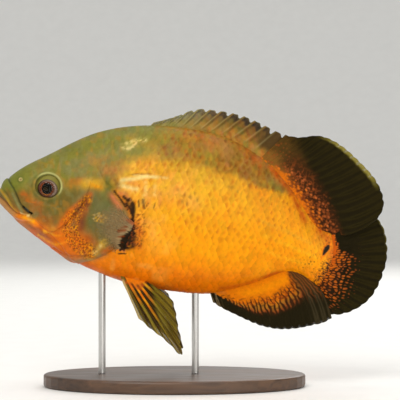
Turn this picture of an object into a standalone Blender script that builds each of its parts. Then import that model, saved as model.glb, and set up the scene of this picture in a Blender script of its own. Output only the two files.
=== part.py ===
"""An oscar fish, life size, swimming nose up on a plain display stand.

The fish is drawn in its own frame: s runs from the snout to the tail, y to its right side and z up.
Sizes are in millimetres until a mesh is made. An empty then tips and lifts the whole fish onto its stand.
"""

import math

import bmesh
import bpy
import numpy as np
from mathutils import Matrix, Vector
from mathutils.bvhtree import BVHTree

MM = 0.001
GAP = 0.3
# Points nearer than the first length are joined, and slivers thinner than the second are taken out
PATCH_WELD = (0.02, 0.01)
UNION_WELD = (0.04, 0.03)
BODY_SHARP_DEG = 40.0
FIN_SHARP_DEG = 14.0

# Pose and stand
NOSE_UP_DEG = 10.0
SNOUT_X = -140.3
SNOUT_HEIGHT = 136.0
BASE_LENGTH = 188.0
BASE_WIDTH = 104.0
BASE_THICKNESS = 9.0
BASE_CENTRE_X = -14.0
BASE_EDGE = 1.6
ROD_RADIUS = 2.6
ROD_X = {"stand_rod_front": -66.0, "stand_rod_back": 1.0}

# Body outline, (s, z): the back and the belly, from the snout tip to the root of the tail fin
BACK = [(0, 1.2), (0.35, 5.2), (1.3, 9.6), (4.4, 13.9), (10, 20.2), (18, 27.1), (31, 36.5), (44, 46.2),
        (57, 54.9), (71, 61.8), (90, 67.6), (112, 71), (134, 72), (150, 70.8), (165, 67.2), (180, 60.9),
        (196, 51), (209, 39.5), (219, 28.5), (226, 21.2), (234, 17.2), (248, 16.4)]
BELLY = [(0, 1.2), (0.35, -1.2), (1.6, -3.6), (5.6, -7.3), (10, -10.9), (18, -16.5), (26, -20.8), (42, -29),
         (58, -35.5), (73, -39.8), (88, -43), (105, -45), (125, -45.5), (143, -44.8), (157, -43.2),
         (168, -40.2), (182, -34.2), (195, -27.6), (205, -21.3), (213, -17.6), (220, -17.2), (228, -19.6),
         (237, -24.2), (248, -28)]
# Half width along the body, and the level of the widest place as a share of the depth
HALF_WIDTH = [(0, 0), (0.6, 4.4), (3, 8.6), (8, 12.2), (16, 15.2), (26, 17.3), (38, 19.2), (55, 21.6),
              (75, 23.6), (95, 24.3), (115, 24), (135, 22.8), (155, 20.6), (175, 17.4), (195, 13.4),
              (212, 9.9), (226, 7.4), (238, 5.4), (248, 3.8)]
WIDEST_LEVEL = 0.44
UPPER_ROUND = (1.9, 0.6)
LOWER_ROUND = (2.2, 0.55)

# Seams between the named parts, (s, z)
GROOVE = [(4.9, 14.5), (7.8, 11.4), (11.2, 7.4), (14.8, 2.6), (17.6, -1.8), (20.4, -5.4), (25.7, -9.6)]
MOUTH = [(0, 1.2), (3.7, -0.2), (8.7, -3.2), (12.7, -6), (17.1, -8.5), (21.2, -9.7), (25.7, -9.6)]
JAW = [(25.7, -9.6), (31, -12.2), (39, -17.3), (47, -23.5), (55, -30.5), (60, -35), (64, -37.4)]
GILL = [(64, -37.4), (68, -35.6), (74, -33), (80, -29.6), (86.5, -25), (90.5, -18), (93.2, -10.5),
        (95.3, -3), (95.6, 3.2), (92.4, 8), (87, 12.5), (80, 20), (75.5, 31), (72.5, 45), (71, 61.8)]
TAIL_CUT_S = (214.5, 220.5)
TAIL_END = [(237, -24.2), (243, -15), (245.6, -4), (245, 7), (241, 16.6)]
MOUTH_OPEN = 0.7
JAW_START_S = 0.15
JAW_END_S = 60.0

# Face
EYE_CENTRE = (35.2, 14.4)
EYE_RADIUS = 8.7
EYE_DEPTH = 6.4
EYE_SUNK = 3.2
EYE_SPAN = 4.0
ORBIT_RIM = 1.3
ORBIT_LEVEL = 2.4
NOSTRIL_CENTRE = (15.2, 15.4)
NOSTRIL_RADIUS = 1.0
NOSTRIL_RIM = 0.8
NOSTRIL_DEPTH = 2.0
NOSTRIL_TURN = (-0.45, 0.55)
CHEEK_EDGE = [(64.5, 17), (62.5, 8), (58, -1.5), (53, -9.5), (47, -15.5), (40, -19.5)]
CHEEK_STEP = 1.1
CHEEK_FADE = 8.0
GROOVE_WIDTH = 1.8
SEAM_LEVELS = 17
LIP_ROLL = 1.3
LIP_EDGE = 1.5
LIP_PINCH = 0.75
# The lower lip stands out at the first distance below the mouth, and its crease lies at the second
LOWER_LIP = (3.0, 6.0)
LIP_CREASE = 0.4
RIDGE_FADE = 4.0

# Gill cover, (s, z) of its front edge from top to bottom; its rear edge follows the gill seam
COVER_FRONT = [(69, 20), (66, 11), (63.2, 1), (62.2, -9), (63.4, -19), (66.5, -28)]
COVER_REAR_Z = (20.0, -30.5)
COVER_STEPS = 9
COVER_LEVELS = 13
COVER_ARCH = 3.0
COVER_THICKNESS = 1.3
COVER_TAPER = 0.45

# Median fins: (s, z) along each margin, numbers of spines and rays, and where the base starts and ends
SPINY_BASE_S = (95.5, 180.5)
SPINY_TIPS = [(100.5, 71.8), (106.5, 74.4), (113, 77.6), (120.5, 82), (128, 86.2), (138, 88), (150, 88.6),
              (162, 88), (173, 85.8), (184, 82.6), (194.8, 79.4)]
SPINES = 13
SPINY_NOTCH = 0.24
NOTCH_END = 0.62
FIRST_NOTCH = 0.4
SOFT_BASE_S = (181.1, 221.0)
SOFT_MARGIN = [(195.6, 78.8), (206, 79.4), (216.5, 82.4), (227, 81.8), (238.5, 77.2), (247, 72), (255.5, 66),
               (263.5, 59.4), (269.5, 51.5), (272.6, 44.2), (272.4, 38.2), (269, 32.8)]
SOFT_RAYS = 18
SOFT_SAG = 9.0
ANAL_BASE_S = (161.0, 214.0)
ANAL_MARGIN = [(164.5, -47.5), (172, -50.8), (181, -53.4), (190, -56), (198, -57.9), (206, -58.8),
               (214, -58.6), (223, -57), (231, -54.4), (238.5, -51.4), (245.5, -48.2), (250, -44.4)]
ANAL_RAYS = 18
ANAL_SAG = -4.5
CAUDAL_MARGIN = [(266.8, 34.2), (273.6, 30.2), (278.6, 23.4), (281.4, 16.5), (283, 9.5), (283.5, 2.4),
                 (283, -5), (281.4, -13.8), (278.8, -21.6), (275, -28.2), (269.4, -34.2), (263, -38.8),
                 (256.5, -41.4), (250.8, -41.2)]
CAUDAL_RAYS = 16
CAUDAL_ROOT = (0.075, 0.95)
CAUDAL_SWING = 9.0
LOBE_SWING = 4.2
FIN_SUNK = 3.0
FIN_ROOT_THICKNESS = 2.6
SHEATH_THICKNESS = 4.2
FIN_TIP_THICKNESS = 0.7
FIN_THINS_BY = 0.45
RAY_RIDGE = 0.9
SPINE_RIDGE = 1.0
RIDGE_AT_ROOT = 0.3
RIDGE_LOSS = 0.45
SWING_POWER = 1.6

# Paired fins: root line on the body, (s, z) for the breast fin and s for the belly fin; tips as (s, y, z)
PECTORAL_ROOT = [(101.5, -2.5), (97, -21)]
PECTORAL_TIPS = [(86.5, 62, 13.5), (80, 71.5, 8), (76.8, 76, -1), (77.5, 74.5, -10), (81.5, 67.5, -18),
                 (87, 57, -24.5), (92, 46, -28)]
PECTORAL_RAYS = 13
PECTORAL_CAMBER = 3.0
PELVIC_ROOT_S = (95.5, 113.5)
PELVIC_ROOT_Y = 7.5
PELVIC_TIPS = [(114.5, 13.5, -67.5), (127, 16, -74.8), (139, 19, -81), (149.5, 22.5, -87), (147.2, 21, -80),
               (144, 19.5, -73), (141.8, 18, -66.5), (139.2, 16.2, -59.5), (135.5, 14, -52.5),
               (130.5, 11.5, -48.2)]
PELVIC_RAYS = 11
PELVIC_CAMBER = 2.0
PAIRED_SUNK = 4.5
PAIRED_ROOT_THICKNESS = 2.2
PAIRED_TIP_THICKNESS = 0.6
PAIRED_RIDGE = 0.7

COLOURS = {
    "skin_back": ((0.20, 0.19, 0.035), 0.35, 0.0),
    "skin_flank": ((0.90, 0.36, 0.02), 0.32, 0.0),
    "lips": ((0.28, 0.24, 0.07), 0.35, 0.0),
    "fin_dark": ((0.028, 0.022, 0.006), 0.4, 0.0),
    "fin_clear": ((0.28, 0.20, 0.08), 0.35, 0.0),
    "eye": ((0.06, 0.035, 0.015), 0.08, 0.0),
    "stand_wood": ((0.045, 0.028, 0.018), 0.45, 0.0),
    "stand_steel": ((0.60, 0.60, 0.58), 0.28, 1.0),
}


def clear_scene():
    for thing in list(bpy.data.objects):
        bpy.data.objects.remove(thing)


def curve_through(keys):
    """A smooth function through (x, value) keys: a natural cubic spline, which takes numbers or arrays."""
    x, value = np.array(keys, float).T
    step = np.diff(x)
    slope = np.diff(value) / step
    system = np.eye(len(x))
    right = np.zeros(len(x))
    for i in range(1, len(x) - 1):
        system[i, i - 1:i + 2] = step[i - 1], 2 * (step[i - 1] + step[i]), step[i]
        right[i] = 6 * (slope[i] - slope[i - 1])
    bend = np.linalg.solve(system, right)

    def at(where):
        where = np.clip(where, x[0], x[-1])
        i = np.clip(np.searchsorted(x, where) - 1, 0, len(step) - 1)
        after = where - x[i]
        before = x[i + 1] - where
        cubic = (bend[i] * before ** 3 + bend[i + 1] * after ** 3) / (6 * step[i])
        linear = (value[i] / step[i] - bend[i] * step[i] / 6) * before
        return cubic + linear + (value[i + 1] / step[i] - bend[i + 1] * step[i] / 6) * after

    return at


def from_snout(keys):
    """As curve_through, in the square root of s, so that the outline turns upright at the snout."""
    at = curve_through([(math.sqrt(s), value) for s, value in keys])
    return lambda s: at(np.sqrt(np.maximum(s, 0)))


back_z = from_snout(BACK)
belly_z = from_snout(BELLY)
half_width = from_snout(HALF_WIDTH)


def half_width_at(s, z):
    """The body's half width at a place of its side view."""
    top, bottom = back_z(s), belly_z(s)
    level = bottom + WIDEST_LEVEL * (top - bottom)
    upper = z >= level
    room = np.where(upper, top - level, level - bottom)
    reach = np.clip(np.abs(z - level) / np.maximum(room, 0.001), 0, 1)
    power = np.where(upper, UPPER_ROUND[0], LOWER_ROUND[0])
    round_to = np.where(upper, UPPER_ROUND[1], LOWER_ROUND[1])
    return half_width(s) * (1 - reach ** power) ** round_to


def line_points(keys, shares):
    """Points at these shares of the length of a smooth line through (s, z) keys."""
    keys = np.array(keys, float)
    along = np.concatenate([[0], np.cumsum(np.linalg.norm(np.diff(keys, axis=0), axis=1))])
    across = [curve_through(list(zip(along, keys[:, k]))) for k in range(keys.shape[1])]
    return np.stack([at(np.array(shares) * along[-1]) for at in across], axis=1)


def beside(points, distance):
    """The line moved sideways, to the right of its direction when distance is positive."""
    way = np.gradient(points, axis=0)
    way /= np.linalg.norm(way, axis=1)[:, None]
    return points + distance * np.stack([way[:, 1], -way[:, 0]], axis=1)


def distance_to(keys, s, z):
    """Distance of (s, z) from a line, and on which side it lies: positive to the line's right."""
    line = line_points(keys, np.linspace(0, 1, 60))
    away = np.stack([s[..., None] - line[:, 0], z[..., None] - line[:, 1]], axis=-1)
    square = (away ** 2).sum(-1)
    nearest = square.argmin(-1)
    way = np.gradient(line, axis=0)[nearest]
    gap = np.take_along_axis(away, nearest[..., None, None], axis=-2)[..., 0, :]
    side = np.sign(gap[..., 0] * way[..., 1] - gap[..., 1] * way[..., 0])
    return np.sqrt(square.min(-1)), side


def patch(front, rear, bottom, top):
    """A grid of (s, z) filled between four border lines, each an array of points."""
    u = np.linspace(0, 1, len(bottom))[:, None, None]
    v = np.linspace(0, 1, len(front))[None, :, None]
    sides = (1 - u) * front[None] + u * rear[None] + (1 - v) * bottom[:, None] + v * top[:, None]
    corners = ((1 - u) * (1 - v) * front[0] + u * (1 - v) * rear[0]
               + (1 - u) * v * front[-1] + u * v * rear[-1])
    return sides - corners


def crowded_ends(count):
    """Shares from 0 to 1 that crowd towards both ends."""
    return (1 - np.cos(np.linspace(0, math.pi, count))) / 2


def gill_seam(levels):
    """Points of the seam between the head and the torso, at shares of its height."""
    z = GILL[0][1] + levels * (GILL[-1][1] - GILL[0][1])
    return np.stack([curve_through([(height, s) for s, height in GILL])(z), z], axis=1)


def material(name):
    made = bpy.data.materials.get(name)
    if made:
        return made
    colour, rough, metal = COLOURS[name]
    made = bpy.data.materials.new(name)
    made.use_nodes = True
    surface = made.node_tree.nodes["Principled BSDF"]
    surface.inputs["Base Color"].default_value = (*colour, 1)
    surface.inputs["Roughness"].default_value = rough
    surface.inputs["Metallic"].default_value = metal
    return made


def add_object(name, mesh_maker, look, collection, parent=None, sharp_deg=BODY_SHARP_DEG):
    """Turns a bmesh into a named object that carries one material."""
    mesh = bpy.data.meshes.new(name)
    bmesh.ops.recalc_face_normals(mesh_maker, faces=mesh_maker.faces)
    mesh_maker.to_mesh(mesh)
    mesh_maker.free()
    made = bpy.data.objects.new(name, mesh)
    mesh.materials.append(material(look))
    mesh.shade_smooth()
    mesh.set_sharp_from_angle(angle=math.radians(sharp_deg))
    collection.objects.link(made)
    made.parent = parent
    return made


def rim_of(rows, columns):
    """Places round the edge of a grid, in order."""
    there = [(i, 0) for i in range(rows)] + [(rows - 1, j) for j in range(1, columns)]
    back = [(i, columns - 1) for i in range(rows - 2, -1, -1)] + [(0, j) for j in range(columns - 2, 0, -1)]
    return there + back


def weld(maker, join, sliver):
    """Joins points that nearly meet and takes out slivers, both lengths in millimetres."""
    bmesh.ops.remove_doubles(maker, verts=maker.verts, dist=join * MM)
    bmesh.ops.dissolve_degenerate(maker, edges=maker.edges, dist=sliver * MM)
    bmesh.ops.triangulate(maker, faces=maker.faces)


def two_sided(grid, width):
    """A closed body from a side-view grid and its half widths: both sides, joined by straight walls."""
    maker = bmesh.new()
    rows, columns = width.shape
    sides = []
    for side in (-1, 1):
        sides.append([[maker.verts.new(Vector((grid[i, j, 0], side * width[i, j], grid[i, j, 1])) * MM)
                       for j in range(columns)] for i in range(rows)])
    for points in sides:
        for i in range(rows - 1):
            for j in range(columns - 1):
                maker.faces.new((points[i][j], points[i + 1][j], points[i + 1][j + 1], points[i][j + 1]))
    rim = rim_of(rows, columns)
    for (i, j), (k, m) in zip(rim, rim[1:] + rim[:1]):
        maker.faces.new((sides[0][i][j], sides[0][k][m], sides[1][k][m], sides[1][i][j]))
    weld(maker, *PATCH_WELD)
    return maker


def eye_frame(side):
    """Where an eye sits and how it is turned: its third axis points out of the head."""
    s, z = EYE_CENTRE
    out_s = -(half_width_at(s + EYE_SPAN, z) - half_width_at(s - EYE_SPAN, z)) / (2 * EYE_SPAN)
    out_z = -(half_width_at(s, z + EYE_SPAN) - half_width_at(s, z - EYE_SPAN)) / (2 * EYE_SPAN)
    outward = Vector((out_s, side, out_z)).normalized()
    place = Vector((s, side * half_width_at(s, z), z)) - outward * EYE_SUNK
    turn = outward.to_track_quat("Z", "Y").to_matrix().to_4x4()
    return Matrix.Translation(place * MM) @ turn


def head_relief(s, z):
    """How far the face stands out of the plain body: the cheek's edge and the groove behind the lip."""
    away, side = distance_to(CHEEK_EDGE, s, z)
    cheek = CHEEK_STEP * np.where(side > 0, np.exp(-(away / CHEEK_FADE) ** 2), 0)
    away, _ = distance_to(GROOVE, s, z)
    groove = -LIP_ROLL * np.exp(-(away / GROOVE_WIDTH) ** 2)
    return cheek + groove


def lip_relief(s, z):
    """The roll of a lip: full along its middle and pinched at the mouth line and at the groove."""
    from_mouth, _ = distance_to(MOUTH, s, z)
    from_groove, _ = distance_to(GROOVE, s, z)
    edge = np.minimum(from_mouth, from_groove)
    return LIP_ROLL * (np.tanh(edge / LIP_EDGE) - LIP_PINCH)


def fade_to_ridge(width):
    """Relief dies out where the two sides meet, so that the outline stays true."""
    return np.clip(width / RIDGE_FADE, 0, 1)


def combine(target, tools, operation):
    """One Boolean of the target with a collection of closed meshes, applied; the tools are removed."""
    step = target.modifiers.new(operation, "BOOLEAN")
    step.operation = operation
    step.operand_type = "COLLECTION"
    step.collection = tools
    step.solver = "EXACT"
    graph = bpy.context.evaluated_depsgraph_get()
    made = bpy.data.meshes.new_from_object(target.evaluated_get(graph))
    target.modifiers.clear()
    maker = bmesh.new()
    maker.from_mesh(made)
    bmesh.ops.triangulate(maker, faces=maker.faces)
    weld(maker, *UNION_WELD)
    maker.to_mesh(made)
    maker.free()
    target.data = made
    for tool in list(tools.objects):
        bpy.data.objects.remove(tool)
    bpy.data.collections.remove(tools)


def tool_collection(name):
    made = bpy.data.collections.new(name)
    made.hide_render = True
    bpy.context.scene.collection.children.link(made)
    return made


def ball(name, radius, depth, frame, collection, segments, rings):
    """A ball, flattened to this depth along the third axis of its frame."""
    maker = bmesh.new()
    bmesh.ops.create_uvsphere(maker, u_segments=segments, v_segments=rings, radius=radius * MM)
    bmesh.ops.scale(maker, vec=(1, 1, depth / radius), verts=maker.verts)
    bmesh.ops.transform(maker, matrix=frame, verts=maker.verts)
    return add_object(name, maker, "eye", collection)


def ring(name, radius, thickness, frame, collection):
    """A torus round the third axis of its frame."""
    maker = bmesh.new()
    bmesh.ops.create_circle(maker, radius=thickness * MM, segments=8)
    bmesh.ops.rotate(maker, verts=maker.verts, cent=(0, 0, 0), matrix=Matrix.Rotation(math.pi / 2, 3, "X"))
    bmesh.ops.translate(maker, verts=maker.verts, vec=(radius * MM, 0, 0))
    geometry = maker.verts[:] + maker.edges[:]
    bmesh.ops.spin(maker, geom=geometry, cent=(0, 0, 0), axis=(0, 0, 1), angle=2 * math.pi, steps=36,
                   use_merge=True)
    bmesh.ops.transform(maker, matrix=frame, verts=maker.verts)
    return add_object(name, maker, "skin_back", collection)


def nostril_frame(side):
    s, z = NOSTRIL_CENTRE
    outward = Vector((NOSTRIL_TURN[0], side, NOSTRIL_TURN[1])).normalized()
    place = Vector((s, side * half_width_at(s, z), z))
    return Matrix.Translation(place * MM) @ outward.to_track_quat("Z", "Y").to_matrix().to_4x4()


def make_head(collection, parent):
    levels = crowded_ends(SEAM_LEVELS)
    front = line_points(GROOVE, 1 - levels)
    rear = gill_seam(levels)
    bottom = line_points(JAW, np.linspace(0, 1, 22))
    top_s = np.linspace(GROOVE[0][0], GILL[-1][0], 22)
    top = np.stack([top_s, back_z(top_s)], axis=1)
    front[-1] = top[0]
    grid = patch(front, rear, bottom, top)
    width = half_width_at(grid[..., 0], grid[..., 1])
    width = width + head_relief(grid[..., 0], grid[..., 1]) * fade_to_ridge(width)
    head = add_object("head", two_sided(grid, width), "skin_back", collection)

    rims = tool_collection("rims")
    for side in (-1, 1):
        ball("nostril_rim", NOSTRIL_RADIUS + NOSTRIL_RIM, NOSTRIL_RADIUS, nostril_frame(side), rims, 12, 6)
        at_surface = eye_frame(side) @ Matrix.Translation((0, 0, ORBIT_LEVEL * MM))
        ring("orbit_rim", EYE_RADIUS + 0.8 * ORBIT_RIM, ORBIT_RIM, at_surface, rims)
    combine(head, rims, "UNION")
    sockets = tool_collection("sockets")
    for side in (-1, 1):
        ball("socket", EYE_RADIUS + GAP, EYE_DEPTH + GAP, eye_frame(side), sockets, 32, 12)
        ball("nostril", NOSTRIL_RADIUS, NOSTRIL_DEPTH, nostril_frame(side), sockets, 10, 6)
    combine(head, sockets, "DIFFERENCE")
    head.parent = parent
    for side, name in ((-1, "eye_left"), (1, "eye_right")):
        ball(name, EYE_RADIUS, EYE_DEPTH, eye_frame(side), collection, 24, 12).parent = parent
    return head


def make_upper_jaw(collection, parent):
    steps = np.linspace(0, 1, 15)
    levels = crowded_ends(9)
    root_s = (levels * math.sqrt(GROOVE[0][0])) ** 2
    front = np.stack([root_s, back_z(root_s)], axis=1)
    bottom = line_points(MOUTH, steps)
    top = beside(line_points(GROOVE, steps), GAP * 1.1)
    front[-1] = top[0]
    rear = np.repeat(bottom[-1:], len(levels), axis=0)
    top[-1] = bottom[-1]
    grid = patch(front, rear, bottom, top)
    grid[..., 0] = np.maximum(grid[..., 0], 0)
    width = half_width_at(grid[..., 0], grid[..., 1])
    width = width + lip_relief(grid[..., 0], grid[..., 1]) * fade_to_ridge(width)
    width[0] = 0
    return add_object("upper_jaw", two_sided(grid, width), "lips", collection, parent)


def make_lower_jaw(collection, parent):
    seam = curve_through(MOUTH[:-1] + JAW)
    s = JAW_START_S + (JAW_END_S - JAW_START_S) * np.linspace(0, 1, 20) ** 1.6
    open_by = np.where(s < JAW[0][0], MOUTH_OPEN, GAP * 1.25)
    top_z = seam(s) - open_by
    levels = np.linspace(0, 1, 7) ** 1.4
    z = belly_z(s)[:, None] + levels * (top_z - belly_z(s))[:, None]
    grid = np.stack([np.repeat(s[:, None], len(levels), axis=1), z], axis=-1)
    width = half_width_at(grid[..., 0], z)
    from_mouth, _ = distance_to(MOUTH, grid[..., 0], z)
    roll = LIP_ROLL * np.exp(-((from_mouth - LOWER_LIP[0]) / 2) ** 2)
    crease = LIP_CREASE * np.exp(-((from_mouth - LOWER_LIP[1]) / LIP_EDGE) ** 2)
    width = width + (roll - crease) * fade_to_ridge(width)
    return add_object("lower_jaw", two_sided(grid, width), "lips", collection, parent)


def torso_grid(steps, levels):
    front = beside(gill_seam(levels), GAP)
    front[0] = front[0, 0] + 1.0, belly_z(front[0, 0] + 1.0)
    front[-1] = GILL[-1][0] + GAP, back_z(GILL[-1][0] + GAP)
    bottom_s = np.linspace(front[0, 0], TAIL_CUT_S[0], steps)
    top_s = np.linspace(front[-1, 0], TAIL_CUT_S[1], steps)
    bottom = np.stack([bottom_s, belly_z(bottom_s)], axis=1)
    top = np.stack([top_s, back_z(top_s)], axis=1)
    rear = bottom[-1] + levels[:, None] * (top[-1] - bottom[-1])
    return patch(front, rear, bottom, top)


def make_torso(collection, parent):
    grid = torso_grid(23, crowded_ends(SEAM_LEVELS))
    width = half_width_at(grid[..., 0], grid[..., 1])
    return add_object("torso", two_sided(grid, width), "skin_flank", collection, parent)


def make_tail_stem(collection, parent):
    levels = crowded_ends(11)
    bottom_s = np.linspace(TAIL_CUT_S[0] + GAP, TAIL_END[0][0], 7)
    top_s = np.linspace(TAIL_CUT_S[1] + GAP, TAIL_END[-1][0], 7)
    bottom = np.stack([bottom_s, belly_z(bottom_s)], axis=1)
    top = np.stack([top_s, back_z(top_s)], axis=1)
    front = bottom[0] + levels[:, None] * (top[0] - bottom[0])
    rear = line_points(TAIL_END, levels)
    rear[0], rear[-1] = bottom[-1], top[-1]
    grid = patch(front, rear, bottom, top)
    width = half_width_at(grid[..., 0], grid[..., 1])
    return add_object("tail_stem", two_sided(grid, width), "skin_flank", collection, parent)


def make_gill_cover(name, side, collection, parent):
    """A thin plate that lies over the head behind the cheek, its rear edge along the gill seam."""
    levels = np.linspace(0, 1, COVER_LEVELS)
    front = line_points(COVER_FRONT, levels)
    rear_z = COVER_REAR_Z[0] + levels * (COVER_REAR_Z[1] - COVER_REAR_Z[0])
    gill_s = curve_through([(height, s) for s, height in GILL])
    rear = np.stack([gill_s(rear_z), rear_z], axis=1)
    steps = np.linspace(0, 1, COVER_STEPS)[:, None]
    arch = COVER_ARCH * np.sin(math.pi * steps) * np.array([0, 1])
    top = front[0] + steps * (rear[0] - front[0]) + arch
    bottom = front[-1] + steps * (rear[-1] - front[-1]) - 0.5 * arch
    grid = patch(front, rear, top, bottom)
    inner = half_width_at(grid[..., 0], grid[..., 1])
    relief = head_relief(grid[..., 0], grid[..., 1]) * fade_to_ridge(inner)
    inner = inner + np.maximum(relief, 0) + GAP * 1.3
    thickness = np.full(inner.shape, COVER_TAPER)
    thickness[1:-1, 1:-1] = COVER_THICKNESS
    maker = bmesh.new()
    skins = []
    for reach in (inner, inner + thickness):
        skins.append([[maker.verts.new(Vector((grid[i, j, 0], side * reach[i, j], grid[i, j, 1])) * MM)
                       for j in range(COVER_LEVELS)] for i in range(COVER_STEPS)])
    close_sheet(maker, skins)
    return add_object(name, maker, "skin_back", collection, parent)


def close_sheet(maker, skins):
    """Faces of a thin sheet with two skins of points, split alike on both, and the wall round its rim."""
    rows, columns = len(skins[0]), len(skins[0][0])
    for points in skins:
        for i in range(rows - 1):
            for j in range(columns - 1):
                a, b, c, d = points[i][j], points[i + 1][j], points[i + 1][j + 1], points[i][j + 1]
                maker.faces.new((a, b, c))
                maker.faces.new((a, c, d))
    rim = rim_of(rows, columns)
    for (i, j), (k, m) in zip(rim, rim[1:] + rim[:1]):
        maker.faces.new((skins[0][i][j], skins[0][k][m], skins[1][k][m]))
        maker.faces.new((skins[0][i][j], skins[1][k][m], skins[1][i][j]))


def swollen(thing, name, collection):
    """A copy of a part, grown by the gap that is kept from it."""
    maker = bmesh.new()
    maker.from_mesh(thing.data)
    maker.normal_update()
    for vert in maker.verts:
        vert.co += vert.normal * GAP * MM
    return add_object(name, maker, "skin_flank", collection)


def fin_body(name, centre, thickness, look, body, collection, parent):
    """A fin from its middle surface, an array [root to margin, front to rear, 3], and its thicknesses.

    Its root starts inside the body and is cut back to the gap, so that it meets the body face to face."""
    normal = np.cross(np.gradient(centre, axis=0), np.gradient(centre, axis=1))
    normal /= np.linalg.norm(normal, axis=-1)[..., None]
    maker = bmesh.new()
    skins = []
    for side in (-1, 1):
        points = (centre + side * normal * thickness[..., None] / 2) * MM
        skins.append([[maker.verts.new(p) for p in row] for row in points])
    close_sheet(maker, skins)
    fin = add_object(name, maker, look, collection, sharp_deg=FIN_SHARP_DEG)
    for part in body:
        shell = tool_collection("shell")
        swollen(part, "shell", shell)
        combine(fin, shell, "DIFFERENCE")
    fin.data.set_sharp_from_angle(angle=math.radians(FIN_SHARP_DEG))
    fin.parent = parent
    return fin


def ray_profile(rays, per_ray=2):
    """Shares along the fin's base, and 1 on each ray and 0 between rays."""
    count = (rays - 1) * per_ray + 1
    shares = np.linspace(0, 1, count)
    ridge = (np.arange(count) % per_ray == 0).astype(float)
    return shares, ridge


def fin_thickness(rows, ridge, root, tip, height):
    """Thickness of a fin: it thins out from its root, and its rays stand highest a third of the way out."""
    out = np.linspace(0, 1, rows)[:, None]
    thinned = np.minimum(out / FIN_THINS_BY, 1)
    rise = np.minimum(RIDGE_AT_ROOT + out / FIN_THINS_BY, 1)
    return root + (tip - root) * thinned + height * ridge[None] * rise * (1 - RIDGE_LOSS * out)


def flat_fin(base, margin, rows, sag, swing):
    """Middle surface of a fin in the fish's middle plane: sag bows the rays, swing bends the fin sideways."""
    out = np.linspace(0, 1, rows)[:, None, None]
    way = margin - base
    beside_ray = np.stack([way[:, 1], -way[:, 0]], axis=1) / np.linalg.norm(way, axis=1)[:, None]
    bow = sag * np.linspace(0, 1, len(base))[None, :, None] ** 2 * np.sin(math.pi * out) * beside_ray[None]
    plane = base[None] + out * way[None] + bow
    drift = np.broadcast_to(swing * out[..., 0] ** SWING_POWER, plane.shape[:2])
    return np.stack([plane[..., 0], drift, plane[..., 1]], axis=-1)


def sunk_base(edge, shares, ends, side):
    """The base line of a fin, a little inside the body's edge: side is 1 for the back, -1 for the belly."""
    s = ends[0] + shares * (ends[1] - ends[0])
    return beside(np.stack([s, edge(s)], axis=1), side * FIN_SUNK)


def make_spiny_fin(body, collection, parent):
    """The spiny part of the back fin: the skin between the spines is notched behind each tip."""
    per_spine = 3
    shares, ridge = ray_profile(SPINES, per_spine)
    base = sunk_base(back_z, shares, SPINY_BASE_S, 1)
    margin = line_points(SPINY_TIPS, shares)
    phase = np.arange(len(shares)) % per_spine
    cut = SPINY_NOTCH * np.where(phase == 1, 1.0, np.where(phase == 2, NOTCH_END, 0.0))
    cut[:2] *= FIRST_NOTCH
    margin = margin - cut[:, None] * (margin - base)
    centre = flat_fin(base, margin, 5, 0.0, 0.0)
    thickness = fin_thickness(5, ridge, FIN_ROOT_THICKNESS, FIN_TIP_THICKNESS, SPINE_RIDGE)
    fin_body("dorsal_fin_spiny", centre, thickness, "fin_clear", body[:1], collection, parent)


def make_soft_fin(body, collection, parent):
    shares, ridge = ray_profile(SOFT_RAYS)
    base = sunk_base(back_z, shares, SOFT_BASE_S, 1)
    margin = line_points(SOFT_MARGIN, shares)
    centre = flat_fin(base, margin, 8, SOFT_SAG, -LOBE_SWING)
    thickness = fin_thickness(8, ridge, SHEATH_THICKNESS, FIN_TIP_THICKNESS, RAY_RIDGE)
    fin_body("dorsal_fin_soft", centre, thickness, "fin_dark", body, collection, parent)


def make_anal_fin(body, collection, parent):
    shares, ridge = ray_profile(ANAL_RAYS)
    base = sunk_base(belly_z, shares, ANAL_BASE_S, -1)
    margin = line_points(ANAL_MARGIN, shares)
    centre = flat_fin(base, margin, 7, ANAL_SAG, -LOBE_SWING)
    thickness = fin_thickness(7, ridge, SHEATH_THICKNESS, FIN_TIP_THICKNESS, RAY_RIDGE)
    fin_body("anal_fin", centre, thickness, "fin_dark", body, collection, parent)


def make_caudal_fin(body, collection, parent):
    shares, ridge = ray_profile(CAUDAL_RAYS)
    root = CAUDAL_ROOT[0] + (CAUDAL_ROOT[1] - CAUDAL_ROOT[0]) * shares
    base = line_points(TAIL_END[::-1], root) - np.array([FIN_SUNK, 0])
    margin = line_points(CAUDAL_MARGIN, shares)
    centre = flat_fin(base, margin, 7, 0.0, CAUDAL_SWING)
    thickness = fin_thickness(7, ridge, FIN_ROOT_THICKNESS, FIN_TIP_THICKNESS, RAY_RIDGE)
    fin_body("caudal_fin", centre, thickness, "fin_dark", body[1:], collection, parent)


def paired_fin(root, tips, rows, camber):
    """Middle surface between a root line and a line of tips in space, bowed by camber."""
    out = np.linspace(0, 1, rows)[:, None, None]
    way = tips - root
    across = np.gradient(root, axis=0)
    bow = np.cross(way, across)
    bow /= np.linalg.norm(bow, axis=1)[:, None]
    return root[None] + out * way[None] + camber * np.sin(math.pi * out) * bow[None]


def make_pectoral_fin(name, side, body, collection, parent):
    shares, ridge = ray_profile(PECTORAL_RAYS)
    flat = line_points(PECTORAL_ROOT, shares)
    depth = half_width_at(flat[:, 0], flat[:, 1]) - PAIRED_SUNK
    root = np.stack([flat[:, 0], side * depth, flat[:, 1]], axis=1)
    tips = line_points(PECTORAL_TIPS, shares) * np.array([1, side, 1])
    centre = paired_fin(root, tips, 7, side * PECTORAL_CAMBER)
    thickness = fin_thickness(7, ridge, PAIRED_ROOT_THICKNESS, PAIRED_TIP_THICKNESS, PAIRED_RIDGE)
    fin_body(name, centre, thickness, "fin_clear", body[:1], collection, parent)


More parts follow.
